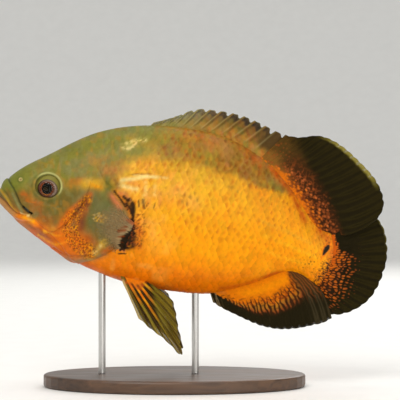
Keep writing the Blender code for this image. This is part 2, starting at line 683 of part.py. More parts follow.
def make_pelvic_fin(name, side, body, collection, parent):
    shares, ridge = ray_profile(PELVIC_RAYS)
    s = PELVIC_ROOT_S[0] + shares * (PELVIC_ROOT_S[1] - PELVIC_ROOT_S[0])
    root = np.stack([s, np.full(len(s), side * PELVIC_ROOT_Y), belly_z(s) + PAIRED_SUNK], axis=1)
    tips = line_points(PELVIC_TIPS, shares) * np.array([1, side, 1])
    centre = paired_fin(root, tips, 7, -side * PELVIC_CAMBER)
    thickness = fin_thickness(7, ridge, PAIRED_ROOT_THICKNESS, PAIRED_TIP_THICKNESS, PAIRED_RIDGE)
    fin_body(name, centre, thickness, "fin_clear", body[:1], collection, parent)


def placed_surface(thing):
    """A search tree over the triangles of an object where it is placed."""
    points = [thing.matrix_world @ vert.co for vert in thing.data.vertices]
    return BVHTree.FromPolygons(points, [list(face.vertices) for face in thing.data.polygons])


def make_base(collection):
    maker = bmesh.new()
    bmesh.ops.create_cone(maker, cap_ends=True, segments=48, radius1=MM * BASE_LENGTH / 2,
                          radius2=MM * BASE_LENGTH / 2, depth=BASE_THICKNESS * MM)
    bmesh.ops.scale(maker, vec=(1, BASE_WIDTH / BASE_LENGTH, 1), verts=maker.verts)
    base = add_object("stand_base", maker, "stand_wood", collection)
    base.location = Vector((BASE_CENTRE_X, 0, BASE_THICKNESS / 2)) * MM
    edge = base.modifiers.new("edge", "BEVEL")
    edge.width = BASE_EDGE * MM
    edge.segments = 2
    edge.limit_method = "ANGLE"
    edge.angle_limit = math.radians(50)


def make_rod(name, x, surface, collection):
    """A rod from the base up to the belly, its top shaped to lie under the body."""
    maker = bmesh.new()
    foot = BASE_THICKNESS + GAP
    bmesh.ops.create_cone(maker, cap_ends=True, cap_tris=True, segments=16, radius1=ROD_RADIUS * MM,
                          radius2=ROD_RADIUS * MM, depth=MM)
    for vert in maker.verts:
        if vert.co.z < 0:
            vert.co.z = 0
            continue
        above = Vector((x * MM + vert.co.x, vert.co.y, foot * MM))
        hit = surface.ray_cast(above, Vector((0, 0, 1)))[0]
        vert.co.z = hit.z - (foot + GAP) * MM
    rod = add_object(name, maker, "stand_steel", collection)
    rod.location = Vector((x, 0, foot)) * MM


def main():
    clear_scene()
    fish = bpy.data.collections.new("oscar_fish")
    bpy.context.scene.collection.children.link(fish)
    pose = bpy.data.objects.new("fish_pose", None)
    fish.objects.link(pose)
    pose.location = Vector((SNOUT_X, 0, SNOUT_HEIGHT)) * MM
    pose.rotation_euler = (0, math.radians(NOSE_UP_DEG), 0)

    make_head(fish, pose)
    make_upper_jaw(fish, pose)
    make_lower_jaw(fish, pose)
    torso = make_torso(fish, pose)
    stem = make_tail_stem(fish, pose)
    for name, side in (("gill_cover_left", -1), ("gill_cover_right", 1)):
        make_gill_cover(name, side, fish, pose)

    body = [torso, stem]
    make_spiny_fin(body, fish, pose)
    make_soft_fin(body, fish, pose)
    make_anal_fin(body, fish, pose)
    make_caudal_fin(body, fish, pose)
    for word, side in (("left", -1), ("right", 1)):
        make_pectoral_fin("pectoral_fin_" + word, side, body, fish, pose)
        make_pelvic_fin("pelvic_fin_" + word, side, body, fish, pose)

    bpy.context.view_layer.update()
    make_base(fish)
    belly = placed_surface(torso)
    for name, x in ROD_X.items():
        make_rod(name, x, belly, fish)


main()
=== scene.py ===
"""An oscar fish on a plain display stand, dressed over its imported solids.

Lengths are in millimetres in the fish's own frame, as in the part's source: s runs from the snout to the
tail, y to its right side and z up. to_world tips and lifts them onto the stand, in metres.
"""

import math

import bmesh
import bpy
import numpy as np
from mathutils import Matrix, Vector


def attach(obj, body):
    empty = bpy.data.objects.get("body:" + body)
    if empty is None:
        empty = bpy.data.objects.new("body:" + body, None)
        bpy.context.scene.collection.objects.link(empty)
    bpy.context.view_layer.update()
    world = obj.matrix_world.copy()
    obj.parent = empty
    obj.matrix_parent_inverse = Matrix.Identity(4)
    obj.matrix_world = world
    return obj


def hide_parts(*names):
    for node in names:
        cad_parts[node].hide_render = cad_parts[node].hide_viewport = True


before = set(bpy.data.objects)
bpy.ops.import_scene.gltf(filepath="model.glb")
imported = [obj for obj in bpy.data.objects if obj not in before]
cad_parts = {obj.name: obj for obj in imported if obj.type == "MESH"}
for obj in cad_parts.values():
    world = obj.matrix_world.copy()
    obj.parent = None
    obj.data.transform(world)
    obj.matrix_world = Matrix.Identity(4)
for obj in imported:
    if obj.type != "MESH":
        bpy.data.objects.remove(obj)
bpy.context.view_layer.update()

# Pose, and the outline of the body, as in the part's source
NOSE_UP_DEG = 10.0
SNOUT_X = -140.3
SNOUT_HEIGHT = 136.0
BACK = [(0, 1.2), (0.35, 5.2), (1.3, 9.6), (4.4, 13.9), (10, 20.2), (18, 27.1), (31, 36.5), (44, 46.2),
        (57, 54.9), (71, 61.8), (90, 67.6), (112, 71), (134, 72), (150, 70.8), (165, 67.2), (180, 60.9),
        (196, 51), (209, 39.5), (219, 28.5), (226, 21.2), (234, 17.2), (248, 16.4)]
BELLY = [(0, 1.2), (0.35, -1.2), (1.6, -3.6), (5.6, -7.3), (10, -10.9), (18, -16.5), (26, -20.8), (42, -29),
         (58, -35.5), (73, -39.8), (88, -43), (105, -45), (125, -45.5), (143, -44.8), (157, -43.2),
         (168, -40.2), (182, -34.2), (195, -27.6), (205, -21.3), (213, -17.6), (220, -17.2), (228, -19.6),
         (237, -24.2), (248, -28)]
HALF_WIDTH = [(0, 0), (0.6, 4.4), (3, 8.6), (8, 12.2), (16, 15.2), (26, 17.3), (38, 19.2), (55, 21.6),
              (75, 23.6), (95, 24.3), (115, 24), (135, 22.8), (155, 20.6), (175, 17.4), (195, 13.4),
              (212, 9.9), (226, 7.4), (238, 5.4), (248, 3.8)]
WIDEST_LEVEL = 0.44
UPPER_ROUND = (1.9, 0.6)
LOWER_ROUND = (2.2, 0.55)
TAIL_END = [(237, -24.2), (243, -15), (245.6, -4), (245, 7), (241, 16.6)]

# Lines of the head, (s, z)
GROOVE = [(4.9, 14.2), (7.6, 11.0), (10.6, 8.2), (13.6, 4.6), (16.4, 0.4), (19.4, -3.3), (23.6, -5.9),
          (27.2, -7.6)]
MOUTH = [(0, 1.2), (3.7, -0.9), (8.2, -3.9), (12.4, -6.8), (16.8, -8.9), (21.2, -9.3), (27.2, -7.6)]
MOUTH_CORNER = [(20.4, -4.0), (23.9, -6.1), (26.6, -7.4)]
LIP_CREASE = [(1.2, 5.2), (4.6, 2.6), (8.4, -0.7), (12.3, -5.1), (16.5, -8.4)]
JAW = [(27.2, -7.6), (31, -12.2), (39, -17.3), (47, -23.5), (55, -30.5), (60, -35), (64, -37.4)]
CHEEK_EDGE = [(64.5, 17), (62.5, 8), (58, -1.5), (53, -9.5), (47, -15.5), (40, -19.5)]
COVER_EDGE = [(64, -37.4), (74, -33), (83, -27.5), (90.5, -18), (93.2, -10.5), (95.3, -3), (95.6, 3.2),
              (92.4, 8), (87, 12.5), (81, 17.5), (76, 23)]
THROAT_LINE = [(46, -29), (51.1, -31), (62.6, -31.6), (74, -28.7)]
EYE_CENTRE = (35.3, 13.7)
EYE_RADIUS = 8.7
ORBIT_RADIUS = 9.9
ORBIT_FLAT = 1.09
EYE_DEPTH = 6.4
EYE_SUNK = 3.2
NOSTRIL_CENTRE = (14.8, 14.8)
PORES = [(22.5, 21.5), (28.5, 26.8), (37, 27.5), (45.5, 24), (49, 14.5), (46.5, 6), (38.5, 1.2), (28.5, 2.2),
         (23.5, 7.6), (56, 26), (63, 24), (60.5, 6), (56.2, -3), (50.5, -11), (43.5, -17)]

# Fins, as in the part's source
SPINY_BASE_S = (95.5, 182)
SPINY_TIPS = [(100.5, 71.8), (106.5, 74.4), (113, 77.6), (120.5, 82), (128, 86.2), (138, 88), (150, 88.6),
              (162, 88), (173, 85.8), (184, 82.6), (196.2, 79.1)]
SPINES = 13
SPINE_LEAN = 0.09
SOFT_BASE_S = (180.2, 226.0)
SOFT_MARGIN = [(194.9, 79.2), (206, 79.4), (216.5, 82.4), (227, 81.8), (238.5, 77.2), (247, 72), (255.5, 66),
               (263.5, 59.4), (269.5, 51.5), (272.6, 44.2), (272.6, 37.6), (270, 31.0)]
ANAL_BASE_S = (161.0, 219.5)
ANAL_MARGIN = [(164.5, -47.5), (172, -50.8), (181, -53.4), (190, -56), (198, -57.9), (206, -58.8),
               (214, -58.6), (223, -57), (231, -54.4), (238.5, -51.4), (245.5, -48.2), (250.4, -44.2)]
CAUDAL_MARGIN = [(266.8, 34.2), (273.6, 30.2), (278.6, 23.4), (281.4, 16.5), (283, 9.5), (283.5, 2.4),
                 (283, -5), (281.4, -13.8), (278.8, -21.6), (275, -28.2), (269.4, -34.2), (263, -38.8),
                 (256.5, -41.6), (249, -42.4), (243, -40.5)]
CAUDAL_ROOT = (0.06, 1.0)
CAUDAL_BASE = [(241, 16.6), (245, 7), (245.6, -4), (243, -15), (237.5, -23.6), (229, -21.5)]
CAUDAL_SWING = 9.0
LOBE_SWING = 4.2
SWING_POWER = 1.6
FIN_SUNK = 3.0
PECTORAL_ROOT = [(101.5, -2.5), (97, -21)]
PECTORAL_TIPS = [(88.5, 60, 10.5), (82, 69.5, 7), (77.8, 74.8, -1), (78, 73.5, -9), (82, 66.5, -16),
                 (87.5, 56, -21), (92.5, 45, -23.5)]
PELVIC_ROOT_S = (95.5, 113.5)
PELVIC_ROOT_Y = 7.5
PELVIC_TIPS = [(114.5, 13.5, -67.5), (127, 16, -74.8), (139, 19, -81), (149.5, 22.5, -87), (147.2, 21, -80),
               (144, 19.5, -73), (141.8, 18, -66.5), (139.2, 16.2, -59.5), (135.5, 14, -52.5),
               (130.5, 11.5, -48.2)]
PAIRED_SUNK = 4.5
LOBE_RAYS = 18
CAUDAL_RAYS = 16
PECTORAL_RAYS = 13
PELVIC_RAYS = 11

# Colours of the living fish, as red, green and blue from 0 to 255
TINTS = {
    "olive": (131, 126, 47), "snout": (119, 122, 42), "cheek": (116, 98, 40), "cover": (120, 116, 70),
    "cream": (250, 222, 140), "yellow": (252, 184, 30), "amber": (252, 160, 2), "orange": (244, 130, 2),
    "deep orange": (226, 108, 0), "gold": (218, 166, 44), "bronze": (166, 131, 41), "brown": (146, 98, 36),
    "gold brown": (186, 124, 36), "pink": (188, 126, 70), "red orange": (206, 92, 18), "rust": (160, 70, 16),
    "chin": (167, 92, 30), "lower lip": (180, 132, 76), "black": (16, 12, 8), "dark": (40, 30, 16),
    "grey": (146, 128, 92), "grey green": (140, 138, 84), "pale": (206, 180, 118), "green": (92, 104, 44),
    "fin": (30, 25, 9), "rim": (160, 145, 50), "film": (190, 166, 120), "ember": (160, 78, 32),
    "spine": (176, 164, 110), "fin brown": (84, 60, 24), "dusky": (128, 112, 28), "sun": (255, 172, 6),
    "fin orange": (232, 120, 14), "peach": (255, 176, 70), "salmon": (222, 122, 72), "plum": (104, 58, 40),
    "teal": (28, 44, 24), "steel": (84, 98, 92), "orbit": (196, 194, 120), "pupil": (14, 16, 10),
    "eye red": (140, 64, 28), "eye brown": (62, 38, 24), "eye plum": (104, 62, 44), "flap": (66, 52, 42),
    "eye mauve": (158, 138, 120), "eye olive": (124, 116, 50), "maroon": (66, 34, 14), "wine": (104, 46, 24),
}


def rgb(name):
    """A tint in linear light."""
    return ((np.array(TINTS[name]) / 255 + 0.055) / 1.055) ** 2.4


def curve_through(keys):
    """A smooth function through (x, value) keys: a natural cubic spline, which takes numbers or arrays."""
    x, value = np.array(keys, float).T
    step = np.diff(x)
    slope = np.diff(value) / step
    system = np.eye(len(x))
    right = np.zeros(len(x))
    for i in range(1, len(x) - 1):
        system[i, i - 1:i + 2] = step[i - 1], 2 * (step[i - 1] + step[i]), step[i]
        right[i] = 6 * (slope[i] - slope[i - 1])
    bend = np.linalg.solve(system, right)

    def at(where):
        where = np.clip(where, x[0], x[-1])
        i = np.clip(np.searchsorted(x, where) - 1, 0, len(step) - 1)
        after = where - x[i]
        before = x[i + 1] - where
        cubic = (bend[i] * before ** 3 + bend[i + 1] * after ** 3) / (6 * step[i])
        linear = (value[i] / step[i] - bend[i] * step[i] / 6) * before
        return cubic + linear + (value[i + 1] / step[i] - bend[i + 1] * step[i] / 6) * after

    return at


def from_snout(keys):
    """As curve_through, in the square root of s, so that the outline turns upright at the snout."""
    at = curve_through([(math.sqrt(s), value) for s, value in keys])
    return lambda s: at(np.sqrt(np.maximum(s, 0)))


back_z = from_snout(BACK)
belly_z = from_snout(BELLY)
half_width = from_snout(HALF_WIDTH)


def line_points(keys, shares):
    """Points at these shares of the length of a smooth line through keys."""
    keys = np.array(keys, float)
    along = np.concatenate([[0], np.cumsum(np.linalg.norm(np.diff(keys, axis=0), axis=1))])
    across = [curve_through(list(zip(along, keys[:, k]))) for k in range(keys.shape[1])]
    return np.stack([at(np.array(shares) * along[-1]) for at in across], axis=1)


def beside(points, distance):
    """The line moved sideways, to the right of its direction when distance is positive."""
    way = np.gradient(points, axis=0)
    way /= np.linalg.norm(way, axis=1)[:, None]
    return points + distance * np.stack([way[:, 1], -way[:, 0]], axis=1)


def levels_at(s):
    """Heights of the back, of the belly and of the widest level between them."""
    top, bottom = back_z(s), belly_z(s)
    return top, bottom, bottom + WIDEST_LEVEL * (top - bottom)


def rounded(s, reach, upper):
    """The body's half width at a reach of 0, its widest level, to 1, its upper or lower edge."""
    power = np.where(upper, UPPER_ROUND[0], LOWER_ROUND[0])
    round_to = np.where(upper, UPPER_ROUND[1], LOWER_ROUND[1])
    return half_width(s) * np.maximum(1 - reach ** power, 0) ** round_to


def section(s, share):
    """Height and half width of the body at s, for a share from 0 at the belly's edge to 1 at the back's."""
    top, bottom, level = levels_at(s)
    reach = np.sin(math.pi * (share - 0.5))
    upper = reach >= 0
    z = level + np.where(upper, top - level, level - bottom) * reach
    return z, rounded(s, np.abs(reach), upper)


def half_width_at(s, z):
    """The body's half width at a place of its side view."""
    top, bottom, level = levels_at(s)
    upper = z >= level
    full = np.maximum(np.where(upper, top - level, level - bottom), 0.001)
    return rounded(s, np.clip(np.abs(z - level) / full, 0, 1), upper)


TAIL_LINE = line_points(TAIL_END, np.linspace(0, 1, 40))


def to_world(points):
    """From the fish's frame in millimetres to the model's frame in metres."""
    tip = math.radians(NOSE_UP_DEG)
    s, y, z = np.moveaxis(np.asarray(points, float), -1, 0)
    x = SNOUT_X + s * math.cos(tip) + z * math.sin(tip)
    up = SNOUT_HEIGHT - s * math.sin(tip) + z * math.cos(tip)
    return np.stack([x, y, up], axis=-1) / 1000


def smooth(value):
    """0 below 0, 1 above 1 and an even slope between."""
    value = np.clip(value, 0, 1)
    return value * value * (3 - 2 * value)


def rise(value, start, over):
    """0 up to start and 1 from start + over on."""
    return smooth((value - start) / over)


def fall(value, end, over):
    """1 up to end - over and 0 from end on."""
    return smooth((end - value) / over)


def noise(s, z, size, seed):
    """Soft seeded noise from 0 to 1 with lumps of this size."""
    cells = np.random.default_rng(seed).random((97, 97))
    x, y = np.asarray(s, float) / size, np.asarray(z, float) / size
    i, j = np.floor(x).astype(int), np.floor(y).astype(int)
    u, v = smooth(x - i), smooth(y - j)
    i, j = i % 96, j % 96
    near = cells[i, j] * (1 - u) + cells[i + 1, j] * u
    far = cells[i, j + 1] * (1 - u) + cells[i + 1, j + 1] * u
    return near * (1 - v) + far * v


def grain(s, z, size, seed):
    """Noise of three sizes added up, still about 0 to 1."""
    return (noise(s, z, size, seed) * 0.55 + noise(s, z, size * 0.47, seed + 1) * 0.3
            + noise(s, z, size * 0.21, seed + 2) * 0.15)


def line_distance(s, z, line):
    """Distance from a line of points, the side, positive to its right, and the share of the line."""
    best = np.full(s.shape, 1e9)
    side = np.zeros(s.shape)
    share = np.zeros(s.shape)
    for i, (a, b) in enumerate(zip(line[:-1], line[1:])):
        way = b - a
        along = np.clip(((s - a[0]) * way[0] + (z - a[1]) * way[1]) / (way @ way), 0, 1)
        gap_s, gap_z = s - a[0] - along * way[0], z - a[1] - along * way[1]
        gap = np.hypot(gap_s, gap_z)
        closer = gap < best
        best = np.where(closer, gap, best)
        side = np.where(closer, np.sign(gap_s * way[1] - gap_z * way[0]), side)
        share = np.where(closer, (i + along) / (len(line) - 1), share)
    return best, side, share


def near_line(s, z, keys, reach, shape):
    """shape(distance, side) at places within reach of a smooth line through keys, and 0 elsewhere."""
    out = np.zeros(s.shape)
    line = line_points(keys, np.linspace(0, 1, 7 * len(keys)))
    low, high = line.min(0) - reach, line.max(0) + reach
    near = (s > low[0]) & (s < high[0]) & (z > low[1]) & (z < high[1])
    if near.any():
        distance, side, _ = line_distance(s[near], z[near], line)
        out[near] = shape(distance, side) * (distance < reach)
    return out


def bell(value, width):
    """1 at 0, falling to 0.37 at width on both sides."""
    return np.exp(-(value / width) ** 2)


def stroke(s, z, keys, reach, width):
    """A soft stroke along a smooth line through keys: 1 on it and 0.37 at width."""
    return near_line(s, z, keys, reach, lambda distance, side: bell(distance, width))


def band(s, z, keys, reach, half, fade):
    """A band along a smooth line through keys: it ends at half its width, fading out before."""
    return near_line(s, z, keys, reach, lambda distance, side: fall(distance, half, fade))


def within(s, z, keys, reach):
    """True within reach of a smooth line through keys."""
    return near_line(s, z, keys, reach, lambda distance, side: 1.0) > 0


def distance_to(s, z, place):
    return np.hypot(s - place[0], z - place[1])


def spot(s, z, centre, radii, tilt_deg=0.0):
    """1 at the middle of an oval and 0.37 on its edge, falling smoothly."""
    turn = math.radians(tilt_deg)
    ds, dz = s - centre[0], z - centre[1]
    along = ds * math.cos(turn) + dz * math.sin(turn)
    across = dz * math.cos(turn) - ds * math.sin(turn)
    return np.exp(-(along / radii[0]) ** 2 - (across / radii[1]) ** 2)


def relief(s, z):
    """How far the skin stands out of the plain body: lips, mouth, grooves, orbit, cheek and gill cover."""
    out = near_line(s, z, GROOVE, 6, lambda d, side: (side > 0) * 0.9 * np.tanh(d / 1.1) * bell(d, 5))
    out -= 0.6 * stroke(s, z, GROOVE, 4, 0.7)
    out -= 0.6 * stroke(s, z, MOUTH_CORNER, 4, 0.8)
    out += near_line(s, z, LIP_CREASE, 4, lambda d, side: 0.5 * bell(d, 1.0) - 0.3 * bell(d - 1.7, 0.6))
    out += near_line(s, z, MOUTH, 9, lambda d, side: np.where(
        side > 0, 1.0 * bell(d - 2.4, 1.7) - 0.35 * bell(d - 5.0, 0.8), 0.3 * bell(d - 1.9, 1.2)))
    out -= 0.9 * stroke(s, z, MOUTH, 3, 0.6)
    out += near_line(s, z, JAW, 5, lambda d, side: -0.6 * bell(d, 0.7) + 0.35 * bell(d - 2, 1.3))
    out += near_line(s, z, THROAT_LINE, 5, lambda d, side: -0.8 * bell(d, 0.6) + 0.4 * bell(d - 1.8, 1.2))
    out += near_line(s, z, CHEEK_EDGE, 14, lambda d, side: np.where(
        side > 0, 1.1 * bell(d, 7.0), -0.35 * bell(d, 1.4)))
    out += near_line(s, z, COVER_EDGE, 22, lambda d, side: np.where(
        side < 0, 1.25 * bell(d - 3, 9) - 0.5 * bell(d, 1.2), -1.0 * bell(d, 1.9)))
    away = np.hypot(s - EYE_CENTRE[0], (z - EYE_CENTRE[1]) * ORBIT_FLAT)
    out += 0.5 * bell(away - ORBIT_RADIUS, 1.1) - 0.2 * bell(away - 12, 1.2)
    out -= 1.3 * fall(away, 9.5, 1.8) + 2.4 * fall(away, 7.6, 0.6)
    away = distance_to(s, z, NOSTRIL_CENTRE)
    out += 0.35 * fall(away, 1.9, 0.7) - 1.3 * fall(away, 0.75, 0.4)
    for place in PORES:
        away = distance_to(s, z, place)
        out += 0.12 * bell(away - 0.9, 0.35) - 0.5 * bell(away, 0.5)
    return out + fall(s, 80, 20) * 0.22 * (grain(s, z, 6.5, 41) - 0.5)


# Paint

FLANK = [(0.0, "deep orange"), (0.1, "orange"), (0.27, "amber"), (0.45, "sun"), (0.62, "yellow"),
         (0.8, "gold"), (1.0, "gold")]
# The height at which the flank gives way to the back, and over how much
UPPER_EDGE = [(60, 40), (75, 41), (95, 45), (112, 47), (130, 48), (141, 47), (152, 45.5), (164, 43.5),
              (175, 41), (189, 38), (200, 38), (210, 37.5), (222, 29), (235, 20), (248, 20)]
UPPER_BLUR = [(60, 12), (100, 11), (140, 8), (165, 5), (190, 4), (248, 2)]
BACK_TINTS = [(60, "olive"), (100, "olive"), (125, "bronze"), (150, "bronze"), (172, "brown"), (200, "brown"),
              (220, "red orange")]
HEAD_TINTS = [(-0.1, "chin"), (0.12, "chin"), (0.3, "cheek"), (0.5, "cheek"), (0.66, "olive"), (1.1, "olive")]
# Marks in the order that they are laid: keys of a line, its width, tint, strength, and how broken up it is
MARKS = [
    ([(78, -6), (82, -14)], 7, "cover", 0.7, 0.3),
    ([(69, 12), (76, 5), (84, 1), (90, -4)], 10, "cover", 0.85, 0.25),
    ([(67, 9), (69, 2), (68, -5)], 3.4, "green", 0.35, 0.4),
    ([(73, 13), (79, 8)], 4, "green", 0.3, 0.4),
    ([(49.6, 17.6), (57.2, 19.2), (64.2, 20.4), (72.9, 20.6)], 3.4, "gold brown", 0.8, 0.4),
    ([(52, 20.5), (58, 21.8)], 2.4, "red orange", 0.35, 0.5),
    ([(61.5, 19.8), (66, 21.2), (72.8, 21)], 3.6, "gold", 1.0, 0.2),
    ([(66, 19.6), (73, 19.4)], 1.6, "amber", 0.7, 0.4),
    ([(75.5, 20.5), (81.5, 21)], 3.2, "green", 0.55, 0.35),
    ([(79, 26.5), (84, 24.5)], 1.8, "plum", 0.5, 0.6),
    ([(60, 35), (70, 38), (82, 39)], 6.5, "gold brown", 0.5, 0.75),
    ([(74, 31), (82, 33)], 4.0, "salmon", 0.4, 0.7),
    ([(19.5, 4.5), (24.5, 1.6), (31, 1.2)], 3.2, "red orange", 0.6, 0.5),
    ([(24.8, 15), (25.2, 9), (26, 3)], 1.7, "gold brown", 0.5, 0.4),
    ([(30, -2), (38, -4), (44, -9), (48, -14)], 5.5, "brown", 0.5, 0.6),
    ([(38, -1), (44, -5)], 3.0, "green", 0.35, 0.5),
    ([(28, -3), (36, -7), (44, -9)], 3.5, "rust", 0.45, 0.65),
    ([(46, -10), (49.5, -13.5)], 2.6, "green", 0.6, 0.3),
    ([(30, -12), (39, -15.9), (47.4, -15.8), (56, -16.4)], 2.4, "gold", 0.55, 0.5),
    ([(33, -15), (44, -19.5), (56, -21), (64, -20)], 4.2, "red orange", 0.85, 0.3),
    ([(20, -14), (30, -18.5), (40, -23)], 3.0, "salmon", 0.5, 0.5),
    ([(33, -17), (36.5, -18.5)], 1.5, "plum", 0.5, 0.4),
    ([(28, -20.5), (44, -28.5), (56, -33.5)], 2.8, "red orange", 0.9, 0.2),
    ([(48, -24), (56, -27), (62, -29)], 5.0, "deep orange", 0.9, 0.15),
    ([(26.6, -16.3), (36.1, -20.4), (46.2, -23.5)], 1.2, "plum", 0.5, 0.5),
    ([(34, -21.8), (41, -25.0), (47.4, -26.0), (55.2, -22.3)], 0.9, "yellow", 0.7, 0.35),
    ([(38, -17.6), (46, -19.6), (54, -18.6)], 1.0, "yellow", 0.6, 0.5),
    ([(16.2, -9.9), (21.7, -11.6), (26.3, -12.2), (30.8, -14)], 2.4, "orange", 0.9, 0.25),
    ([(22.8, -10.6), (28.8, -12.6)], 1.7, "amber", 0.95, 0.15),
    ([(26, -11.0), (28.6, -12.2)], 1.0, "yellow", 0.6, 0.3),
    ([(66, 13), (61, 6.5), (55.8, 0.5), (51.8, -6), (48.6, -13.7)], 2.2, "red orange", 0.9, 0.25),
    ([(63.5, 9), (61.5, 1), (60.5, -8), (62, -14)], 3.6, "brown", 0.85, 0.25),
    ([(62.5, 6), (62, -3), (63, -10)], 2.2, "red orange", 0.4, 0.6),
    ([(55.5, -4), (53.5, -10), (53.5, -16)], 4.0, "deep orange", 0.85, 0.3),
    ([(52, -20), (60, -19.5), (68, -23)], 7, "deep orange", 0.9, 0.2),
    ([(65.2, 5), (63.8, -3), (63.2, -12)], 2.6, "rust", 0.8, 0.35),
    ([(70, -17), (74, -21), (75, -26)], 2.6, "rust", 0.6, 0.4),
    ([(40, -27), (50, -31.5), (62, -36), (74, -39)], 3.5, "red orange", 0.8, 0.2),
    ([(53, -33.6), (65.8, -34.2), (76.5, -31.4), (83, -27)], 1.9, "grey", 0.6, 0.35),
    ([(73.5, -31), (78.8, -23), (82.5, -17.7)], 2.5, "gold", 0.8, 0.35),
    ([(75.5, -27.5), (79.5, -21.5)], 1.3, "cream", 0.5, 0.6),
    ([(82.8, -25), (87.3, -21.6), (91.5, -19.6)], 2.3, "red orange", 0.7, 0.35),
    ([(80.6, 16), (84.2, 12.2), (88.4, 7.6)], 2.2, "salmon", 0.85, 0.25),
    ([(87.6, 16.5), (92, 11), (96, 6.5)], 2.4, "red orange", 0.8, 0.3),
    ([(86.3, 17.6), (90.8, 16.6), (95, 14.2)], 1.3, "salmon", 0.9, 0.3),
    ([(92.3, 0.8), (96, -1.5), (99.5, -4.8)], 2.0, "salmon", 0.85, 0.3),
    ([(99.5, 0), (104, -8), (104.5, -15)], 4.6, "red orange", 0.75, 0.35),
    ([(94, -8), (93, -16)], 4.5, "dark", 0.9, 0.05),
    ([(100.8, -8.6), (102, -12.8), (101.4, -16.8)], 1.6, "black", 0.95, 0.15),
    ([(94, -19.6), (98.5, -19.8), (102.2, -17.8)], 1.4, "black", 0.95, 0.15),
    ([(92.5, -21.2), (96.6, -22.2)], 1.0, "salmon", 0.8, 0.2),
    ([(94, 20), (108, 20), (122, 24)], 7.0, "peach", 0.5, 0.45),
    ([(104, 4), (112, -2), (118, -10)], 9.0, "peach", 0.45, 0.45),
    ([(127, 28), (133, 22), (141, 20)], 5.5, "peach", 0.6, 0.45),
    ([(86, 27.4), (94, 26.6), (101, 27.4)], 3.0, "peach", 0.6, 0.5),
    ([(75.6, 26), (78.6, 21.5), (80.4, 17.6)], 2.4, "green", 0.7, 0.3),
    ([(80.0, 30), (83.2, 25.2), (85.2, 21.6)], 1.9, "plum", 0.6, 0.5),
    ([(84, 20.4), (88, 19.6), (92, 17.6)], 1.6, "pink", 0.7, 0.4),
    ([(86.5, 23.4), (91.2, 22.6), (97.7, 22.4)], 1.9, "cream", 0.75, 0.5),
    ([(92, 26.6), (97, 26.2)], 1.4, "salmon", 0.5, 0.6),
    ([(103, 28), (104, 20), (103.6, 14)], 1.6, "cream", 0.45, 0.6),
    ([(110, 27), (111, 20)], 1.4, "cream", 0.4, 0.6),
    ([(106.5, 24), (107.5, 16)], 1.5, "salmon", 0.5, 0.6),
    ([(114, 24), (115.5, 15)], 1.8, "salmon", 0.4, 0.6),
    # Painted highlight: a broken cream streak along the upper flank, in three strokes
    ([(86.2, 26.8), (90, 28.0), (94.2, 29.2), (98.2, 30.6), (102.9, 32.3)], 1.35, "cream", 1.0, 0.2),
    ([(94, 31.8), (118, 34)], 0.7, "cream", 0.6, 0.6),
    ([(103.5, 32.4), (110.5, 33.4)], 1.1, "cream", 0.9, 0.4),
    ([(90.5, 31.2), (97.8, 33.4), (106.2, 34.6)], 0.55, "plum", 0.6, 0.4),
    # Painted highlight: a broken pale glint on the nape, cream strokes with a softer yellowish stroke over
    # them
    ([(82.8, 50.6), (85.8, 50.0), (89.2, 51.8), (90.6, 54.6)], 1.6, "cream", 0.9, 0.95),
    ([(84.4, 53.6), (88.4, 55.0), (93.6, 56.8), (96.8, 57.6)], 1.5, "cream", 0.9, 0.95),
    ([(82, 51), (90, 53.5)], 2.6, "rim", 0.5, 0.7),
    ([(86, 57), (104, 54)], 4.0, "gold", 0.35, 0.5),
    ([(126, 65), (139, 66), (147, 64)], 3.6, "red orange", 0.5, 0.55),
    ([(146, 66), (152, 63), (157, 58)], 5.0, "pink", 0.55, 0.4),
    ([(163, 65), (172, 61), (180, 55)], 3.6, "red orange", 0.5, 0.55),
    ([(160, 56), (170, 49), (178, 45)], 5.0, "brown", 0.5, 0.5),
    ([(186, 48), (192, 44), (199, 38)], 3.2, "olive", 0.55, 0.4),
    ([(189.0, 54), (200.0, 44.8), (208, 37.5), (213.5, 29), (219.5, 20)], 2.6, "red orange", 0.9, 0.3),
    ([(192, 6), (214, 1), (232, -3)], 1.3, "yellow", 0.5, 0.5),
    ([(196, -5), (216, -8.5), (230, -9)], 1.3, "yellow", 0.45, 0.5),
    ([(186, 16), (208, 11), (226, 6)], 1.2, "gold", 0.4, 0.5),
    ([(231, 16.2), (237, 11.5), (241, 5.5), (243.5, -3)], 4.0, "red orange", 0.85, 0.25),
    ([(226, -15.5), (236, -16), (241, -12)], 4.0, "red orange", 0.5, 0.5),
    ([(96, -42), (118, -43.5), (142, -43)], 3.4, "red orange", 0.4, 0.3),
    ([(140, -36), (165, -34), (186, -27)], 7.0, "deep orange", 0.5, 0.3),
    # Painted shade: a darker red orange line along the fold where the anal fin's base meets the body
    ([(168, -37), (180, -33.0), (192, -27.2), (206, -19.6)], 1.8, "red orange", 0.75, 0.2),
    ([(198, -24), (205, -19.5), (210, -17.8)], 1.3, "red orange", 0.8, 0.1),
]
DARK_DASHES = [(131.5, 24.4, 1.5), (136, 23.6, 1.6), (130.8, 19.5, 1.4), (134.5, 18, 1.6), (138.4, 26.6, 1.1),
               (141, 22.5, 1.2), (168, 33.2, 1.1), (161.1, 35.5, 1.0), (126.5, 27, 1.1)]
